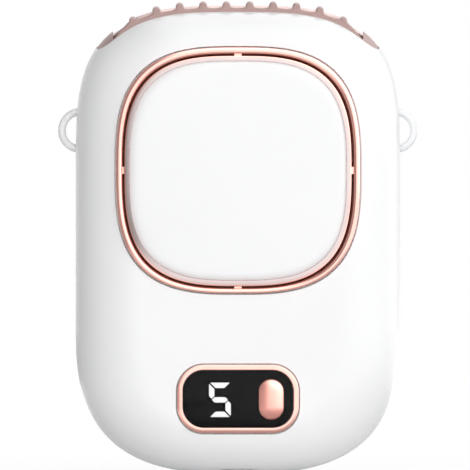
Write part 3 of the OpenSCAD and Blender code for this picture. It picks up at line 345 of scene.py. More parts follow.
makeFinish("smoked_window", [(0.3, 0.3, 0.305), (0.31, 0.31, 0.315)], (0.0, 0.02), noise(50.0),
           noise(300.0), bump=0.005, height=0.000001, Transmission_Weight=1.0, IOR=1.165)
makeFinish("black_plastic", [(0.012, 0.012, 0.012), (0.02, 0.02, 0.021)], (0.42, 0.6), noise(300.0),
           noise(3200.0, detail=5.0), bump=0.25)
makeFinish("lit_white", [(0.85, 0.85, 0.85), (0.9, 0.9, 0.9)], (0.3, 0.4), noise(200.0), noise(1200.0),
           bump=0.02, Emission_Color=(1, 1, 1, 1), Emission_Strength=3.1)
makeFinish("unlit_segment", [(0.02, 0.02, 0.021), (0.024, 0.024, 0.025)], (0.35, 0.5), noise(200.0),
           noise(1200.0), bump=0.04)
makeFinish("circuit_board", [(0.006, 0.06, 0.025), (0.02, 0.14, 0.06)], (0.3, 0.45),
           wave(130.0, turn=(0, 0.785, 0), distortion=6.0), noise(1600.0), bump=0.1,
           contrast=(0.42, 0.5))
makeFinish("ferrite", [(0.035, 0.035, 0.037), (0.06, 0.06, 0.063)], (0.5, 0.75), noise(900.0),
           noise(3600.0), bump=0.3)
makeFinish("plated_steel", [(0.62, 0.62, 0.6), (0.7, 0.7, 0.69)], (0.18, 0.34), noise(400.0),
           noise(700.0, stretch=(12, 12, 0.6), detail=5.0), bump=0.12, Metallic=1.0)
makeFinish("ivory_plastic", [(0.66, 0.62, 0.5), (0.7, 0.66, 0.54)], (0.4, 0.55), noise(300.0),
           noise(3000.0), bump=0.15)
makeFinish("battery_foil", [(0.55, 0.55, 0.56), (0.66, 0.66, 0.67)], (0.24, 0.42), noise(120.0, detail=6.0),
           noise(260.0, detail=8.0, distortion=1.5), bump=0.5, height=0.0001, Metallic=1.0)
makeFinish("red_lead", [(0.42, 0.012, 0.01), (0.5, 0.02, 0.015)], (0.38, 0.5), noise(500.0), noise(4200.0),
           bump=0.15)
makeFinish("black_lead", [(0.01, 0.01, 0.01), (0.02, 0.02, 0.02)], (0.38, 0.5), noise(500.0), noise(4200.0),
           bump=0.15)
makeFinish("grey_plastic", [(0.56, 0.57, 0.58), (0.62, 0.63, 0.64)], (0.36, 0.5), noise(120.0),
           noise(2800.0, detail=5.0), bump=0.2)
makeFinish("fan_plastic", [(0.7, 0.71, 0.73), (0.75, 0.76, 0.78)], (0.26, 0.36), noise(150.0),
           noise(2000.0, detail=3.0), bump=0.1)
makeFinish("magnet", [(0.03, 0.03, 0.032), (0.06, 0.06, 0.065)], (0.45, 0.7), noise(800.0), noise(4000.0),
           bump=0.35, Metallic=0.6)
makeFinish("bush_bronze", [(0.42, 0.24, 0.09), (0.55, 0.33, 0.13)], (0.4, 0.6), noise(900.0),
           cells(3600.0), bump=0.3, Metallic=1.0)
makeFinish("core_steel", [(0.2, 0.21, 0.23), (0.34, 0.35, 0.37)], (0.3, 0.45),
           wave(640.0, turn=standing), wave(640.0, turn=standing), bump=0.5, height=0.0001, Metallic=1.0)
makeFinish("copper_wire", [(0.36, 0.1, 0.03), (0.78, 0.3, 0.14)], (0.22, 0.34),
           wave(1300.0, turn=standing), wave(1300.0, turn=standing), bump=0.6, height=0.0001, Metallic=1.0)
makeFinish("clear_plastic", [(0.93, 0.935, 0.945), (0.95, 0.953, 0.96)], (0.3, 0.42), noise(120.0),
           noise(1800.0, detail=3.0), bump=0.08, Transmission_Weight=0.12, IOR=1.45)
print("materials:", len(finishes), "finishes")

for row in frame["record"]["subparts"]:  # every node of the frame takes its slot's finish
    carried = frame["nodes"][row["node"]]
    carried.data.materials.clear()
    carried.data.materials.append(finishes[row["material_slot"]])


# Intake ring and centre cover

ring = {"width": 53.0, "height": 53.4, "z": 65.4, "power": 3.0, "columns": 432, "turnPoints": 40000,
        "seat": -13.9, "groove": -13.2, "flange": 1.0, "back": -12.2, "rim": -15.15, "clear": 0.08,
        "beadWidth": 1.5, "beadRise": 0.75, "crest": 0.48, "innerPower": 2.6, "innerRoot": 0.6,
        "outerPoints": 9, "innerPoints": 13, "bevel": 0.02,
        "slot": 0.5, "slotFloor": -15.0, "slotLow": 0.3, "taper": 0.19, "taperEnd": -14.1, "bridge": 1.55,
        "slotPoints": 112, "trim": 1.0, "trimPeak": -15.22, "trimFoot": 0.06, "trimStep": 0.03,
        "trimInset": 0.08, "trimEnd": 0.04, "trimPower": 0.8, "trimPoints": 7, "lip": 0.2, "coverLow": 0.12,
        "ledge": -14.0, "ledgeWidth": 1.2, "ledgeBack": -13.1, "tintEdge": 0.03, "tintDepth": 0.01}


def ringStations(count):
    # Closed curve of |cos|^(2/n) by |sin|^(2/n), evenly spaced by length
    turn = np.linspace(0, 2 * np.pi, ring["turnPoints"], endpoint=False)
    share = lambda c: np.sign(c) * np.abs(c) ** (2 / ring["power"])
    u, v = share(np.cos(turn)), share(np.sin(turn))
    places = evenSamples(u * ring["width"], v * ring["height"], count)
    return sampled(u, places), sampled(v, places)


def ringRow(stations, inset, y, scale=1.0, low=0.0):
    # The ring's outline drawn in by inset and scaled about its centre, at the depth y; its lower half
    # reaches further down by low
    x = stations[0] * (ring["width"] / 2 - inset) * scale
    z = ring["z"] + stations[1] * (ring["height"] / 2 - inset + low * (stations[1] < 0)) * scale
    return np.stack([x, y + 0 * x, z], -1)


around = ringStations(ring["columns"])
crest, rim, peak, floorY = ring["crest"], ring["rim"], ring["trimPeak"], ring["slotFloor"]
slotLow, coverLow = ring["slotLow"], ring["coverLow"]
slotOut, slotIn = ring["beadWidth"], ring["beadWidth"] + ring["slot"]
trimIn = slotIn + ring["trim"]
ledgeIn = trimIn + ring["ledgeWidth"]
# The bead from its foot over its crest to the slot: a quarter ellipse outside, a fuller fall inside
a = np.concatenate([np.linspace(0, crest, ring["outerPoints"]),
                    np.linspace(crest, 1, ring["innerPoints"])[1:]])
outer, inner = np.clip(1 - a / crest, 0, 1), np.clip((a - crest) / (1 - crest), 0, 1)
height = ring["beadRise"] * (1 - outer ** 2) ** 0.5 * (1 - inner ** ring["innerPower"]) ** ring["innerRoot"]
# Each row of the section is its inset, its depth and how far down its lower half reaches
profile = [(ring["clear"], ring["seat"], 0)]
profile += list(zip(ring["clear"] + (ring["beadWidth"] - ring["clear"]) * a, rim - height,
                    slotLow * np.clip(a / crest, 0, 1)))
profile += [(slotOut + ring["bevel"], floorY, slotLow), (slotIn - ring["trimFoot"], floorY, slotLow),
            (slotIn, floorY - ring["trimStep"], slotLow)]
t = np.linspace(0, 1, ring["trimPoints"])
trimLow = floorY - ring["trimFoot"]
profile += list(zip(slotIn + ring["trimInset"] + (ring["trim"] - ring["trimInset"] - ring["trimEnd"]) * t,
                    trimLow + (peak - trimLow) * t ** ring["trimPower"], slotLow + (coverLow - slotLow) * t))
profile += [(trimIn - ring["bevel"], peak, coverLow), (trimIn, peak + ring["bevel"], coverLow),
            (trimIn, ring["ledge"], coverLow), (ledgeIn, ring["ledge"], coverLow),
            (ledgeIn, ring["ledgeBack"], coverLow), (slotIn, ring["ledgeBack"], slotLow),
            (slotIn, ring["back"], slotLow), (ring["flange"], ring["back"], 0),
            (ring["flange"], ring["seat"], 0)]
intakeRing = newPiece("intakeRing", [loft([ringRow(around, d, y, low=g) for d, y, g in profile],
                                          closed=True)])


def slotCutter(quarterTurn):
    # The slot's section of eight corners, narrower behind the face, swept along a quarter of the ring
    # from bridge to bridge
    angle = np.arctan2(around[1] * ring["height"], around[0] * ring["width"]) - quarterTurn * np.pi / 2
    start = -np.pi / 8  # the turns are counted from a little before the quarter
    angle = (angle - start) % (2 * np.pi) + start
    order = np.argsort(angle)
    clear = np.arcsin(ring["bridge"] / 2 / (ring["width"] / 2 - slotOut))
    places = np.linspace(clear, np.pi / 2 - clear, ring["slotPoints"])
    part = [np.interp(places, angle[order], v[order]) for v in around]
    narrowOut, narrowIn, end = slotOut + ring["taper"], slotIn - ring["taper"], ring["taperEnd"]
    corners = [(slotOut, cutFront), (slotIn, cutFront), (slotIn, floorY), (narrowIn, end),
               (narrowIn, cutBack), (narrowOut, cutBack), (narrowOut, end), (slotOut, floorY)]
    return loft(np.stack([ringRow(part, d, y, low=slotLow) for d, y in corners], 1))


def ringShare(x, z, inset):
    # |x / a|^n + |z / b|^n with the half sizes of the ring's outline drawn in by inset: 1 on it, less inside
    z = z - ring["z"]
    half = ring["height"] / 2 - inset + slotLow * (z < 0)
    return (np.abs(x) / (ring["width"] / 2 - inset)) ** ring["power"] + (np.abs(z) / half) ** ring["power"]


def tintTrimShadeSlot(piece):
    # The second finish on the trim from its lip inwards; the third, a darker dull copy of the rose gold, on
    # the slot's walls behind the face as painted shade
    for name in ("pale_rose_gold", "dull_rose_gold"):
        piece.data.materials.append(finishes[name])
    faces = piece.data.polygons
    centre = np.zeros(3 * len(faces))
    faces.foreach_get("center", centre)
    x, y, z = (centre / mm).reshape(-1, 3).T
    trim = ringShare(x, z, slotIn + ring["lip"]) < 1
    within = ringShare(x, z, slotOut - ring["tintEdge"]) < 1
    # The slot's walls behind the face take the painted shade
    slot = within & (ringShare(x, z, slotIn + ring["tintEdge"]) > 1) & (y > floorY + ring["tintDepth"])
    faces.foreach_set("material_index", trim + 2 * slot)


combine(intakeRing, [slotCutter(q) for q in range(4)], "DIFFERENCE")
complete(intakeRing, "rose_gold", "case", ["intake_ring"])
tintTrimShadeSlot(intakeRing)

cover = {"edge": 3.06, "crown": -16.5, "fall": 0.55, "edgeFall": 0.8, "edgePower": 40, "ledge": -14.0,
         "lip": 1.2, "rim": 1.0, "rimBack": -12.7, "inside": -14.2, "start": 0.01, "flatShare": 0.9,
         "flatRows": 26, "edgeRows": 22, "crowding": 1.6, "bevel": 0.02, "bevelDepth": 0.06, "turnIn": 0.14}
# Rows at the shares v of the way out, closer at the edge: a dome that falls by v^2, and at its edge by a
# high power of v
shares = np.concatenate([np.linspace(cover["start"], cover["flatShare"], cover["flatRows"]), 1 - (
    1 - cover["flatShare"]) * (1 - np.linspace(0, 1, cover["edgeRows"])[1:]) ** cover["crowding"]])
rows = [ringRow(around, cover["edge"], cover["crown"] + cover["fall"] * v ** 2
                + cover["edgeFall"] * v ** cover["edgePower"], v, coverLow) for v in shares]
edgeY = cover["crown"] + cover["fall"] + cover["edgeFall"]
wide = cover["edge"] + cover["lip"]
deep = wide + cover["rim"]
rows += [ringRow(around, d, y, low=coverLow) for d, y in [
    (cover["edge"] - cover["bevel"], edgeY + cover["bevelDepth"]), (cover["edge"], edgeY + cover["turnIn"]),
    (cover["edge"], cover["ledge"]), (wide, cover["ledge"]), (wide, cover["rimBack"]),
    (deep, cover["rimBack"]), (deep, cover["inside"])]]
centreCover = newPiece("centreCover", [loft(rows)])
complete(centreCover, "white_plastic", "case", ["centre_cover"])


# Bezel, window, button

bezel = {"halfWidth": 13.2, "halfHeight": 7.45, "radius": 5.8, "z": 16.0, "band": 1.2, "seat": -14.1,
         "groove": -13.5, "outer": -15.39, "inner": -15.46, "crown": 0.03, "round": 0.14, "clear": 0.06,
         "columns": 240, "roundPoints": 6, "crownPoints": 9}
bezelOutline = padStations(bezel["halfWidth"], bezel["halfHeight"], bezel["radius"], bezel["columns"])
bezelRow = lambda inset, y: padRow(bezelOutline, inset, y, (0, bezel["z"]))
# A rounded outer edge, a face that rises inwards with a slight crown of a sine, and a rounded inner edge
sine, drop = quarter(bezel["roundPoints"])
r, clear = bezel["round"], bezel["clear"]
t = np.linspace(0, 1, bezel["crownPoints"])
face = bezel["outer"] + (bezel["inner"] - bezel["outer"]) * t - bezel["crown"] * np.sin(np.pi * t)
profile = [(clear, bezel["seat"])]
profile += list(zip(clear + r * drop, bezel["outer"] + r * (1 - sine)))
profile += list(zip(clear + r + (bezel["band"] - clear - 2 * r) * t, face))
profile += list(zip(bezel["band"] - r + r * sine, bezel["inner"] + r * drop))[1:]
profile += [(bezel["band"], bezel["seat"])]
displayBezel = newPiece("displayBezel", [loft([bezelRow(d, y) for d, y in profile], closed=True)])
complete(displayBezel, "rose_gold", "case", ["display_bezel"])

button = {"halfWidth": 2.58, "halfHeight": 4.28, "x": 7.19, "z": 15.9, "front": -16.1, "rise": 0.75,
          "power": 2.4, "bow": 0.2, "start": 0.006, "rows": 24, "columns": 160, "gap": 0.12, "flange": 0.8,
          "flangeY": -12.9, "flangeBack": -12.25}
buttonOutline = padStations(button["halfWidth"], button["halfHeight"], button["halfWidth"],
                            button["columns"])
buttonAt = (button["x"], button["z"])
buttonHole = lambda y: padRow(buttonOutline, -button["gap"], y, buttonAt)
# A dome whose depth falls by a power of the way out, bowed along its height by the square of the way up
t = np.linspace(button["start"], 1, button["rows"])
profile = list(zip(button["halfWidth"] * (1 - t), button["front"] + button["rise"] * t ** button["power"]))
profile += [(0, button["flangeY"]), (-button["flange"], button["flangeY"]),
            (-button["flange"], button["flangeBack"])]
rows = [padRow(buttonOutline, d, y, buttonAt) for d, y in profile]
for row in rows[:button["rows"]]:
    row[:, 1] += button["bow"] * ((row[:, 2] - button["z"]) / button["halfHeight"]) ** 2
powerButton = newPiece("powerButton", [loft(rows)])
complete(powerButton, "satin_rose_gold", "button", ["power_button"])

window = {"inset": 1.25, "front": -15.3, "back": -14.15, "round": 0.1, "printGap": 0.01, "printBack": -14.1}
digit = {"halfWidth": 2.8, "halfHeight": 4.2, "x": -3.9, "z": 15.8, "moduleHalfWidth": 4.65,
         "moduleHalfHeight": 5.25, "corner": 0.3, "columns": 64}
r = window["round"]
profile = list(zip(window["inset"] + r * drop[::-1], window["front"] + r * (1 - sine[::-1])))
digitOutline = padStations(digit["halfWidth"], digit["halfHeight"], digit["corner"], digit["columns"])
moduleOutline = padStations(digit["moduleHalfWidth"], digit["moduleHalfHeight"], digit["corner"],
                            digit["columns"])


def frontHole(rowAt):
    # A straight hole through the front with the outline that the function gives at a depth
    return loft([rowAt(cutFront), rowAt(cutBack)])


digitHole = lambda outline: frontHole(lambda y: padRow(outline, 0, y, (digit["x"], digit["z"])))
displayWindow = newPiece("displayWindow", [loft([bezelRow(d, y) for d, y in profile]
                                                + [bezelRow(window["inset"], window["back"])])])
combine(displayWindow, [frontHole(buttonHole)], "DIFFERENCE")
complete(displayWindow, "smoked_window", "case", ["display_window"])
windowPrint = newPiece("windowPrint", [loft([bezelRow(window["inset"], window["back"] + window["printGap"]),
                                             bezelRow(window["inset"], window["printBack"])])])
combine(windowPrint, [frontHole(buttonHole), digitHole(digitOutline)], "DIFFERENCE")
complete(windowPrint, "black_plastic", "case", [])


# Lanyard loops

loop = {"x": 34.1, "y": 0.5, "z": 74.1, "radius": 4.07, "wire": 0.835, "gap": 0.05, "turns": 96,
        "sides": 28, "sharp": 60}


def loopSolid(side, grow):
    # Torus about an axis along the depth: radius + wire cos b round the circle, wire sin b along the depth
    a = np.linspace(0, 2 * np.pi, loop["turns"], endpoint=False)[:, None]
    b = np.linspace(0, 2 * np.pi, loop["sides"], endpoint=False)[None, :]
    wire = loop["wire"] + grow
    out = loop["radius"] + wire * np.cos(b)
    rows = np.stack([side * loop["x"] + out * np.cos(a), loop["y"] + wire * np.sin(b) + 0 * a,
                     loop["z"] + out * np.sin(a)], -1)
    return loft(rows, closed=True)


for side, word in ((-1, "Left"), (1, "Right")):
    lanyardLoop = newPiece("lanyardLoop" + word, [loopSolid(side, 0)])
    complete(lanyardLoop, "clear_plastic", "case", ["lanyard_loop_" + word.lower()], sharp=loop["sharp"])
loopHoles = [loopSolid(side, loop["gap"]) for side in (-1, 1)]


# Outlet grille

outlet = {"halfLength": 30.5, "halfDepth": 8.1, "corner": 5.0, "y": -0.5, "floor": 90.0, "columns": 460,
          "gap": 0.05, "skirt": 1.1, "proud": 0.5, "rearProud": 0.45, "blendDepth": 6.0, "sharp": 38,
          "bell": 0.5, "rearBell": 0.1, "bellWidth": 1.15, "bellPower": 2.4, "dip": 1.2, "rearDip": 1.9,
          "dipAt": 27.2, "dipWidth": 1.6, "rearDipWidth": 2.6, "capAt": 27.1, "capLow": 0.3, "capStep": 0.03,
          "capInset": 0.25, "capEdge": 0.2, "capDrop": 0.12, "capColumns": 18, "capRows": 33, "footLow": 0.45,
          # Where the painted highlight goes: faces behind this depth that look forward by more than this
          "tintFrom": 3.0, "tintFacing": -0.3,
          # The frame's section: flare and lift over its foot, then inset and lift over its lip's height,
          # from outside and, backwards, from the skirt's inside
          "flareRows": [(0.0, -0.3), (0.12, -0.04), (0.14, 0.02), (0.12, 0.06), (0.0, 0.22)],
          "outsideRows": [(0.0, -0.14), (0.04, -0.05), (0.14, 0.0)],
          "insideRows": [(0.6, 0.0), (0.5, -0.04), (0.08, -0.42), (0.0, -0.55)]}
rib = {"count": 10, "pitch": 5.06, "half": 0.85, "foot": 0.8, "depth": 4.5, "round": 0.3, "inset": 0.03,
       "top": 102.1, "power": 4.4, "span": 17.4, "fall": 0.3, "proud": 0.8, "rows": 36, "roundRows": 7,
       "topPoints": 15}
outletOutline = padStations(outlet["halfLength"], outlet["halfDepth"], outlet["corner"], outlet["columns"])
ribPlaces = (np.arange(rib["count"]) - (rib["count"] - 1) / 2) * rib["pitch"]


def outletHalf(x, inset):
    # Half depth of the outlet at x: straight, then its corner's circle, the root of r^2 less the square
    # of the way past the corner's centre
    past = np.clip(np.abs(x) - outlet["halfLength"] + outlet["corner"], 0, None)
    return outlet["halfDepth"] - outlet["corner"] + np.sqrt((outlet["corner"] - inset) ** 2 - past ** 2)


def lipTop(x, y):
    # The shells' top grown a little, with a bell exp(-|d / w|^n) at each rib's foot and a dip exp(-d^2)
    # before the solid ends, which lie just under the shells' top; front and rear have values of their own
    rear = np.clip(y / outlet["blendDepth"] + 0.5, 0, 1)
    part = lambda key, rearKey: outlet[key] + (outlet[rearKey] - outlet[key]) * rear
    fromRib = np.abs(x[:, None] - ribPlaces[None, :]) / outlet["bellWidth"]
    bells = np.exp(-fromRib ** outlet["bellPower"]).sum(1)
    away = (np.abs(x) - outlet["dipAt"]) / part("dipWidth", "rearDipWidth")
    lip = (topAt(x, y, part("proud", "rearProud")) + part("bell", "rearBell") * bells
           - part("dip", "rearDip") * np.exp(-away ** 2))
    cap = topAt(x, y, 0) - outlet["capLow"] + outlet["capStep"]
    return np.where(np.abs(x) < outlet["capAt"], lip, cap)


def outletRow(inset, height):
    # The outlet's outline drawn in by inset, at the height that the function gives over each point
    row = padRow(outletOutline, inset, 0.0, (0, outlet["y"]), plan=True)
    row[:, 2] = height(row[:, 0], row[:, 1])
    return row


flat = lambda z: (lambda x, y: z + 0 * x)
shellTop = lambda lift: (lambda x, y: topAt(x, y, 0) + lift)
lip = lambda lift: (lambda x, y: np.maximum(lipTop(x, y), topAt(x, y, 0) - outlet["capLow"]) + lift)
foot = lambda lift: (lambda x, y: np.minimum(topAt(x, y, 0), lipTop(x, y) - outlet["footLow"]) + lift)
skirt = outlet["skirt"]
outerX = outletOutline[0] + outlet["corner"] * outletOutline[2]
flare = lambda amount: -amount * np.clip(outlet["dipAt"] - outlet["dipWidth"] - np.abs(outerX), 0, 1)
rows = [outletRow(0, flat(outlet["floor"]))]
rows += [outletRow(flare(out), foot(lift)) for out, lift in outlet["flareRows"]]
rows += [outletRow(inset, lip(lift)) for inset, lift in outlet["outsideRows"]]
rows += [outletRow(skirt - inset, lip(lift)) for inset, lift in outlet["insideRows"]]
rows += [outletRow(skirt, flat(outlet["floor"]))]
outletGrille = newPiece("outletGrille", [loft(rows, closed=True)])


def ribSolid(x):
    # A bar with a half circle as its top and rounded ends. Its crown lies at top - (|x| / span)^n, and falls
    # along its length by a share of the shells' fall
    half = outletHalf(x, rib["inset"])
    reach = rib["round"] * (1 - np.cos(np.linspace(0, np.pi / 2, rib["roundRows"])))
    along = np.concatenate([reach, np.linspace(rib["round"], 2 * half - rib["round"], rib["rows"])[1:-1],
                            2 * half - reach[::-1]])[:, None]
    fromEnd = np.clip(np.minimum(along, 2 * half - along) / rib["round"], 0, 1)
    shrink = rib["round"] * (1 - np.sqrt(1 - (1 - fromEnd) ** 2))
    y = outlet["y"] - half + along
    b = np.linspace(np.pi, 0, rib["topPoints"])[None, :]
    r = rib["half"] - shrink
    low = 0 * along - rib["depth"]
    u = np.concatenate([r * np.cos(b), r * rib["foot"], -r * rib["foot"]], 1)
    v = np.concatenate([r * np.sin(b) - rib["half"], low, low], 1)
    crown = rib["top"] - (np.abs(x) / rib["span"]) ** rib["power"]
    fall = (topAt(x + 0 * y, 0 * y, rib["proud"]) - topAt(x + 0 * y, y, rib["proud"])) * rib["fall"]
    return loft(np.stack(np.broadcast_arrays(x + u, y, crown - fall + v), -1))


def endSolid(side):
    # The closed end beyond the last slot: rows across the depth just under the shells' top, a little lower
    # at the slot by exp(-(d / w)^2)
    x = np.linspace(outlet["capAt"], outlet["halfLength"] - outlet["capInset"], outlet["capColumns"])[:, None]
    y = outlet["y"] + outletHalf(x, outlet["capEdge"]) * np.linspace(-1, 1, outlet["capRows"])[None, :]
    drop = outlet["capDrop"] * np.exp(-((x - outlet["capAt"]) / outlet["capDrop"]) ** 2)
    rows = np.stack([x + 0 * y, y, topAt(x + 0 * y, y, 0) - outlet["capLow"] - drop], -1)
    low = rows[:, [-1, 0]] * 1.0
    low[:, :, 2] = np.maximum(low[:, :, 2] - rib["depth"], outlet["floor"] + outlet["gap"])
    rows = np.concatenate([rows, low], 1)
    rows[:, :, 0] *= side
    return loft(rows)


combine(outletGrille, [ribSolid(x) for x in ribPlaces] + [endSolid(-1), endSolid(1)], "UNION")
complete(outletGrille, "rose_gold", "case", ["outlet_grille"], sharp=outlet["sharp"],
         finish="grille_rose_gold")


def paintLipHighlight(piece):
    # A lighter, partly metallic copy of the grille's finish on faces at the rear that look forward, the
    # inside of the rear lip: a painted highlight
    piece.data.materials.append(finishes["lip_rose_gold"])
    faces = piece.data.polygons
    centre, normal = np.zeros(3 * len(faces)), np.zeros(3 * len(faces))
    faces.foreach_get("center", centre)
    faces.foreach_get("normal", normal)
    inside = (centre[1::3] > outlet["tintFrom"] * mm) & (normal[1::3] < outlet["tintFacing"])
    faces.foreach_set("material_index", inside.astype(int))


paintLipHighlight(outletGrille)


# Shells

stations = bodyStations(body["columns"])
gaps = {"ring": 0.17, "bezel": 0.2, "ringStep": 0.1, "ringHole": 0.95, "ringBack": -11.5,
        "bezelStep": 0.15, "round": 0.07, "roundPoints": 5, "outside": 22.0, "above": 4.0,
        "outletEdge": [(0.0, -0.2), (0.02, -0.03), (0.08, 0.02)]}  # how far out, and over the shells' top


def outletCutter(seat):
    # The outlet's plan from the floor up, widened at the top so that the shells' edge is rounded over
    rows = [outletRow(-seat, flat(outlet["floor"]))]
    rows += [outletRow(-seat - out, shellTop(lift)) for out, lift in gaps["outletEdge"]]
    widest = gaps["outletEdge"][-1][0]
    return loft(rows + [outletRow(-seat - widest, flat(body["crown"] + gaps["above"]))])


def seatSolid(rowAt, gap, steps):
    # A seat through the face: an edge rounded by a quarter circle at the face's own depth, then straight in
    # at the gap, then on by the given insets and depths
    sine, drop = quarter(gaps["roundPoints"])
    r = gaps["round"]
    level = surfaceDepth(rowAt(-gap, 0)[:, 0], rowAt(-gap, 0)[:, 2], frontHalf)
    rows = [rowAt(-gap - r, -gaps["outside"])]
    rows += [rowAt(-gap - r * (1 - s), level + r * d) for s, d in zip(sine, drop)]
    return loft(rows + [rowAt(d, y) for d, y in steps])


def shellSolid(half):
    # From the face out to the waist, a bevelled seam, the lap to the other shell, and the inside back again
    edge, seam, way = body["parting"], body["seam"], half["way"]
    rows = roundingRows(stations, half, half["waist"], half["face"], 0, body["rows"], True)[::-1]
    rows += [bodyRow(stations, y, d, d, False) for y, d in [
        (edge + way * seam, 0), (edge, seam), (edge, half["lap"]), (half["lapEnd"], half["lap"]),
        (half["lapEnd"], body["wall"])]]
    for row in rows:
        row[:, 2] = np.maximum(row[:, 2], 0)
    return loft(rows + roundingRows(stations, half, half["innerFrom"], half["inner"], body["wall"],
                                    body["innerRows"], False))


frontShell = newPiece("frontShell", [shellSolid(frontHalf)])
combine(frontShell, [
    seatSolid(lambda d, y: ringRow(around, d, y), gaps["ring"], [
        (-gaps["ring"], ring["groove"]), (gaps["ringStep"], ring["groove"]), (gaps["ringStep"], ring["seat"]),
        (gaps["ringHole"], ring["seat"]), (gaps["ringHole"], gaps["ringBack"])]),
    seatSolid(bezelRow, gaps["bezel"], [
        (-gaps["bezel"], bezel["groove"]), (gaps["bezelStep"], bezel["groove"]),
        (gaps["bezelStep"], bezel["seat"])]),
    outletCutter(outlet["gap"])], "DIFFERENCE")

port = {"halfWidth": 4.59, "halfDepth": 1.72, "y": -5.7, "columns": 96,
        "steps": [(-0.25, -2.0), (-0.25, 0.0), (-0.1, 0.08), (0, 0.25), (0, 9.0)]}  # insets and heights
portOutline = padStations(port["halfWidth"], port["halfDepth"], port["halfDepth"], port["columns"])
portHole = loft([padRow(portOutline, d, z, (0, port["y"]), plan=True) for d, z in port["steps"]])
combine(frontShell, [portHole, digitHole(moduleOutline), frontHole(buttonHole), *loopHoles], "DIFFERENCE")
complete(frontShell, "white_plastic", "case", ["front_shell"], weighted=True)

screws = {"x": 27.0, "z": (18.0, 42.0), "boss": 2.6, "bossIn": 1.0, "bossFrom": 0.52, "hole": 1.15,
          "holeFrom": -3.0, "head": 1.95, "seat": 4.5, "lead": 0.2, "leadMid": 0.06, "columns": 64}
slots = {"rows": 4, "pitch": 3.2, "width": 1.5, "within": 14.0, "columns": 96,
         "steps": [(0, 12.0), (0, 16.3), (-0.06, 16.44), (-0.2, 16.5), (-0.2, 20.0)]}  # insets and depths
circle = padStations(1.0, 1.0, 1.0, screws["columns"])


def screwRow(radius, y, at):
    # A circle about a screw's place at the depth y
    return padRow(circle, 1 - radius, y, at)


def backAt(radius, at):
    # The back's depth over that circle
    row = screwRow(radius, 0, at)
    return surfaceDepth(row[:, 0], row[:, 2], rearHalf)


def counterbore(at):
    # A screw's hole from the parting plane, its head's wider hole from the back, rounded over at the surface
    hole, head, seat = screws["hole"], screws["head"], screws["seat"]
    lead, mid, level = screws["lead"], screws["leadMid"], backAt(screws["head"], at)
    return loft([screwRow(r, y, at) for r, y in [
        (hole, screws["holeFrom"]), (hole, seat), (head, seat), (head, level - lead),
        (head + mid, level - mid), (head + lead, level), (head + lead, gaps["outside"])]])


def bossSolid(at):
    # A round post from the parting plane to inside the back's wall
    return loft([screwRow(screws["boss"], screws["bossFrom"], at),
                 screwRow(screws["boss"], backAt(screws["boss"], at) - screws["bossIn"], at)])


def slotSolid(i):
    # A long hole with round ends across the back, flared at the outside
    half = np.sqrt(slots["within"] ** 2 - (i * slots["pitch"]) ** 2)
    outline = padStations(half, slots["width"] / 2, slots["width"] / 2, slots["columns"])
    return loft([padRow(outline, d, y, (0, ring["z"] + i * slots["pitch"])) for d, y in slots["steps"]])


screwPlaces = [(s * screws["x"], z) for s in (-1, 1) for z in screws["z"]]
rearShell = newPiece("rearShell", [shellSolid(rearHalf)])
combine(rearShell, [bossSolid(at) for at in screwPlaces], "UNION")
combine(rearShell, [counterbore(at) for at in screwPlaces]
        + [slotSolid(i) for i in range(-slots["rows"], slots["rows"] + 1)]
        + [outletCutter(outlet["gap"]), *loopHoles], "DIFFERENCE")
complete(rearShell, "white_plastic", "case", ["rear_shell"], weighted=True)


# Floor, light and camera

# A lobe is a way, a strength and a power. The ranges steer what glossy rays see: on the floor the distance
# from the object and x, in metres, and in the sky how far the ray points along a way
studio = {"floorSize": 6000.0, "floorTone": 0.66, "floorShade": 0.26, "floorBounce": 0.17, "floorGlow": 0.83,
          "floorNear": 0.4, "floorFar": 1.8, "nearRange": (0.02, 0.2), "leftRange": (-0.15, -0.02),
          "lobes": [((1.0, 0.0, 0.0), 0.7, 1), ((0.2, 0.98, 0.0), 0.97, 1), ((0.1, -0.91, 0.4), 0.95, 3),
                    ((0.0, -1.0, 0.0), 3.0, 6)],
          "dark": 0.48, "bright": 2.0, "rightRange": (-0.46, -0.1), "behindRange": (0.5, 0.95),
          "spark": 1.0, "sparkRange": (0.15, 0.65), "sparkWay": (0.707, 0.0, 0.707),
          "tooth": 400.0, "toothStrength": 0.05, "toothHeight": 0.0002}
white = (1, 1, 1, 1)
h = studio["floorSize"] / 2
floor = newPiece("floor", [(np.array([[-h, -h, 0], [h, -h, 0], [h, h, 0], [-h, h, 0]]),
                            np.array([[0, 1, 2, 3]]), [])])
paper = bpy.data.materials.new("paper")
paper.use_nodes = True
tree = paper.node_tree
tree.nodes.clear()
place = node(tree, "ShaderNodeTexCoord").outputs["Object"]
tooth = pattern(tree, place, **noise(studio["tooth"], detail=4.0))
plain = node(tree, "ShaderNodeBsdfDiffuse", Color=(*(studio["floorTone"],) * 3, 1))
relief = node(tree, "ShaderNodeBump", Strength=studio["toothStrength"], Distance=studio["toothHeight"])
link(tree, tooth, relief.inputs["Height"])
link(tree, relief.outputs["Normal"], plain.inputs["Normal"])
shade = node(tree, "ShaderNodeBsdfDiffuse", Color=(*(studio["floorShade"],) * 3, 1))
glow = node(tree, "ShaderNodeEmission", Color=white)
path = node(tree, "ShaderNodeLightPath")


def seen(tree, path, names):
    # The largest of the named ray kinds
    value = path.outputs[names[0]]
    for name in names[1:]:
        step = node(tree, "ShaderNodeMath", operation="MAXIMUM")
        link(tree, value, step.inputs[0])
        link(tree, path.outputs[name], step.inputs[1])
        value = step.outputs[0]
    return value


def added(tree, first, second):
    # Two shaders' sum
    step = node(tree, "ShaderNodeAddShader")
    link(tree, first.outputs[0], step.inputs[0])
    link(tree, second.outputs[0], step.inputs[1])
    return step.outputs[0]


def ranged(tree, value, low, high, start, end):
    # The value from low..high to start..end, smooth at both ends
    step = node(tree, "ShaderNodeMapRange", interpolation_type="SMOOTHSTEP", From_Min=low, From_Max=high,
                To_Min=start, To_Max=end)
    link(tree, value, step.inputs["Value"])
    return step.outputs["Result"]


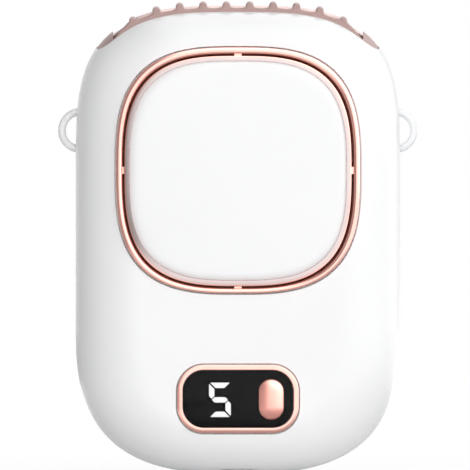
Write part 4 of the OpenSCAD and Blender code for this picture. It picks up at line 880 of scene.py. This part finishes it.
def joined(tree, values, operation):
    # The sum or the product of the values
    total = values[0]
    for value in values[1:]:
        step = node(tree, "ShaderNodeMath", operation=operation)
        link(tree, total, step.inputs[0])
        link(tree, value, step.inputs[1])
        total = step.outputs[0]
    return total


# Camera, glossy and clear rays see a glowing white floor that keeps the shadow; the rest see pale paper
split = node(tree, "ShaderNodeSeparateXYZ")
link(tree, place, split.inputs[0])
reach = node(tree, "ShaderNodeVectorMath", operation="LENGTH")
link(tree, place, reach.inputs[0])
lit = joined(tree, [ranged(tree, reach.outputs["Value"], *studio["nearRange"], 0.0, 1.0),
                    ranged(tree, split.outputs["X"], *studio["leftRange"], 0.0, 1.0)], "MULTIPLY")
mirror = blended(tree, lit, studio["floorNear"], studio["floorFar"])
link(tree, blended(tree, path.outputs["Is Glossy Ray"], studio["floorGlow"], mirror), glow.inputs["Strength"])
bounce = node(tree, "ShaderNodeEmission", Color=white, Strength=studio["floorBounce"])
mix = node(tree, "ShaderNodeMixShader")
link(tree, seen(tree, path, ["Is Camera Ray", "Is Glossy Ray", "Is Transmission Ray"]), mix.inputs[0])
link(tree, added(tree, plain, bounce), mix.inputs[1])
link(tree, added(tree, shade, glow), mix.inputs[2])
link(tree, mix.outputs[0], node(tree, "ShaderNodeOutputMaterial").inputs["Surface"])
floor.data.materials.append(paper)

world = bpy.data.worlds.new("studio")
bpy.context.scene.world = world
world.use_nodes = True
tree = world.node_tree
tree.nodes.clear()
way = node(tree, "ShaderNodeTexCoord").outputs["Generated"]


def along(vector):
    # How far the direction points along the vector
    step = node(tree, "ShaderNodeVectorMath", operation="DOT_PRODUCT")
    link(tree, way, step.inputs[0])
    step.inputs[1].default_value = vector
    return step.outputs["Value"]


def lobe(vector, strength, power):
    # Strength times the cosine to the vector, not below nought, raised to the power
    total = along(vector)
    for operation, value in (("MAXIMUM", 0.0), ("POWER", power), ("MULTIPLY", strength)):
        step = node(tree, "ShaderNodeMath", operation=operation)
        link(tree, total, step.inputs[0])
        step.inputs[1].default_value = value
        total = step.outputs[0]
    return total


soft = joined(tree, [lobe(*row) for row in studio["lobes"]], "ADD")
# Glossy rays see a sky that brightens to the right, a bright spot up right, and plain white behind
sides = ranged(tree, along((1, 0, 0)), *studio["rightRange"], studio["dark"], studio["bright"])
spark = ranged(tree, along(studio["sparkWay"]), *studio["sparkRange"], 0.0, studio["spark"])
behind = ranged(tree, along((0, 1, 0)), *studio["behindRange"], 0.0, 1.0)
mirrored = blended(tree, behind, joined(tree, [sides, spark], "ADD"), 1.0)
path = node(tree, "ShaderNodeLightPath")
strength = blended(tree, path.outputs["Is Glossy Ray"], soft, mirrored)
strength = blended(tree, seen(tree, path, ["Is Camera Ray", "Is Transmission Ray"]), strength, 1.0)
sky = node(tree, "ShaderNodeBackground", Color=white)
link(tree, strength, sky.inputs["Strength"])
link(tree, sky.outputs[0], node(tree, "ShaderNodeOutputWorld").inputs["Surface"])

view = {"lens": 1500.0, "sensor": 36.0, "frame": 101.57, "x": -0.65, "z": 51.43}
camera = bpy.data.objects.new("camera", bpy.data.cameras.new("camera"))
bpy.context.scene.collection.objects.link(camera)
camera.data.lens, camera.data.sensor_width = view["lens"], view["sensor"]
away = view["frame"] * view["lens"] / view["sensor"]
camera.location = (view["x"] * mm, (frontHalf["face"] - away) * mm, view["z"] * mm)
camera.rotation_euler = (np.pi / 2, 0, 0)
bpy.context.scene.camera = camera
bpy.context.scene.view_settings.view_transform = "Standard"
print("studio: floor, light and camera set")
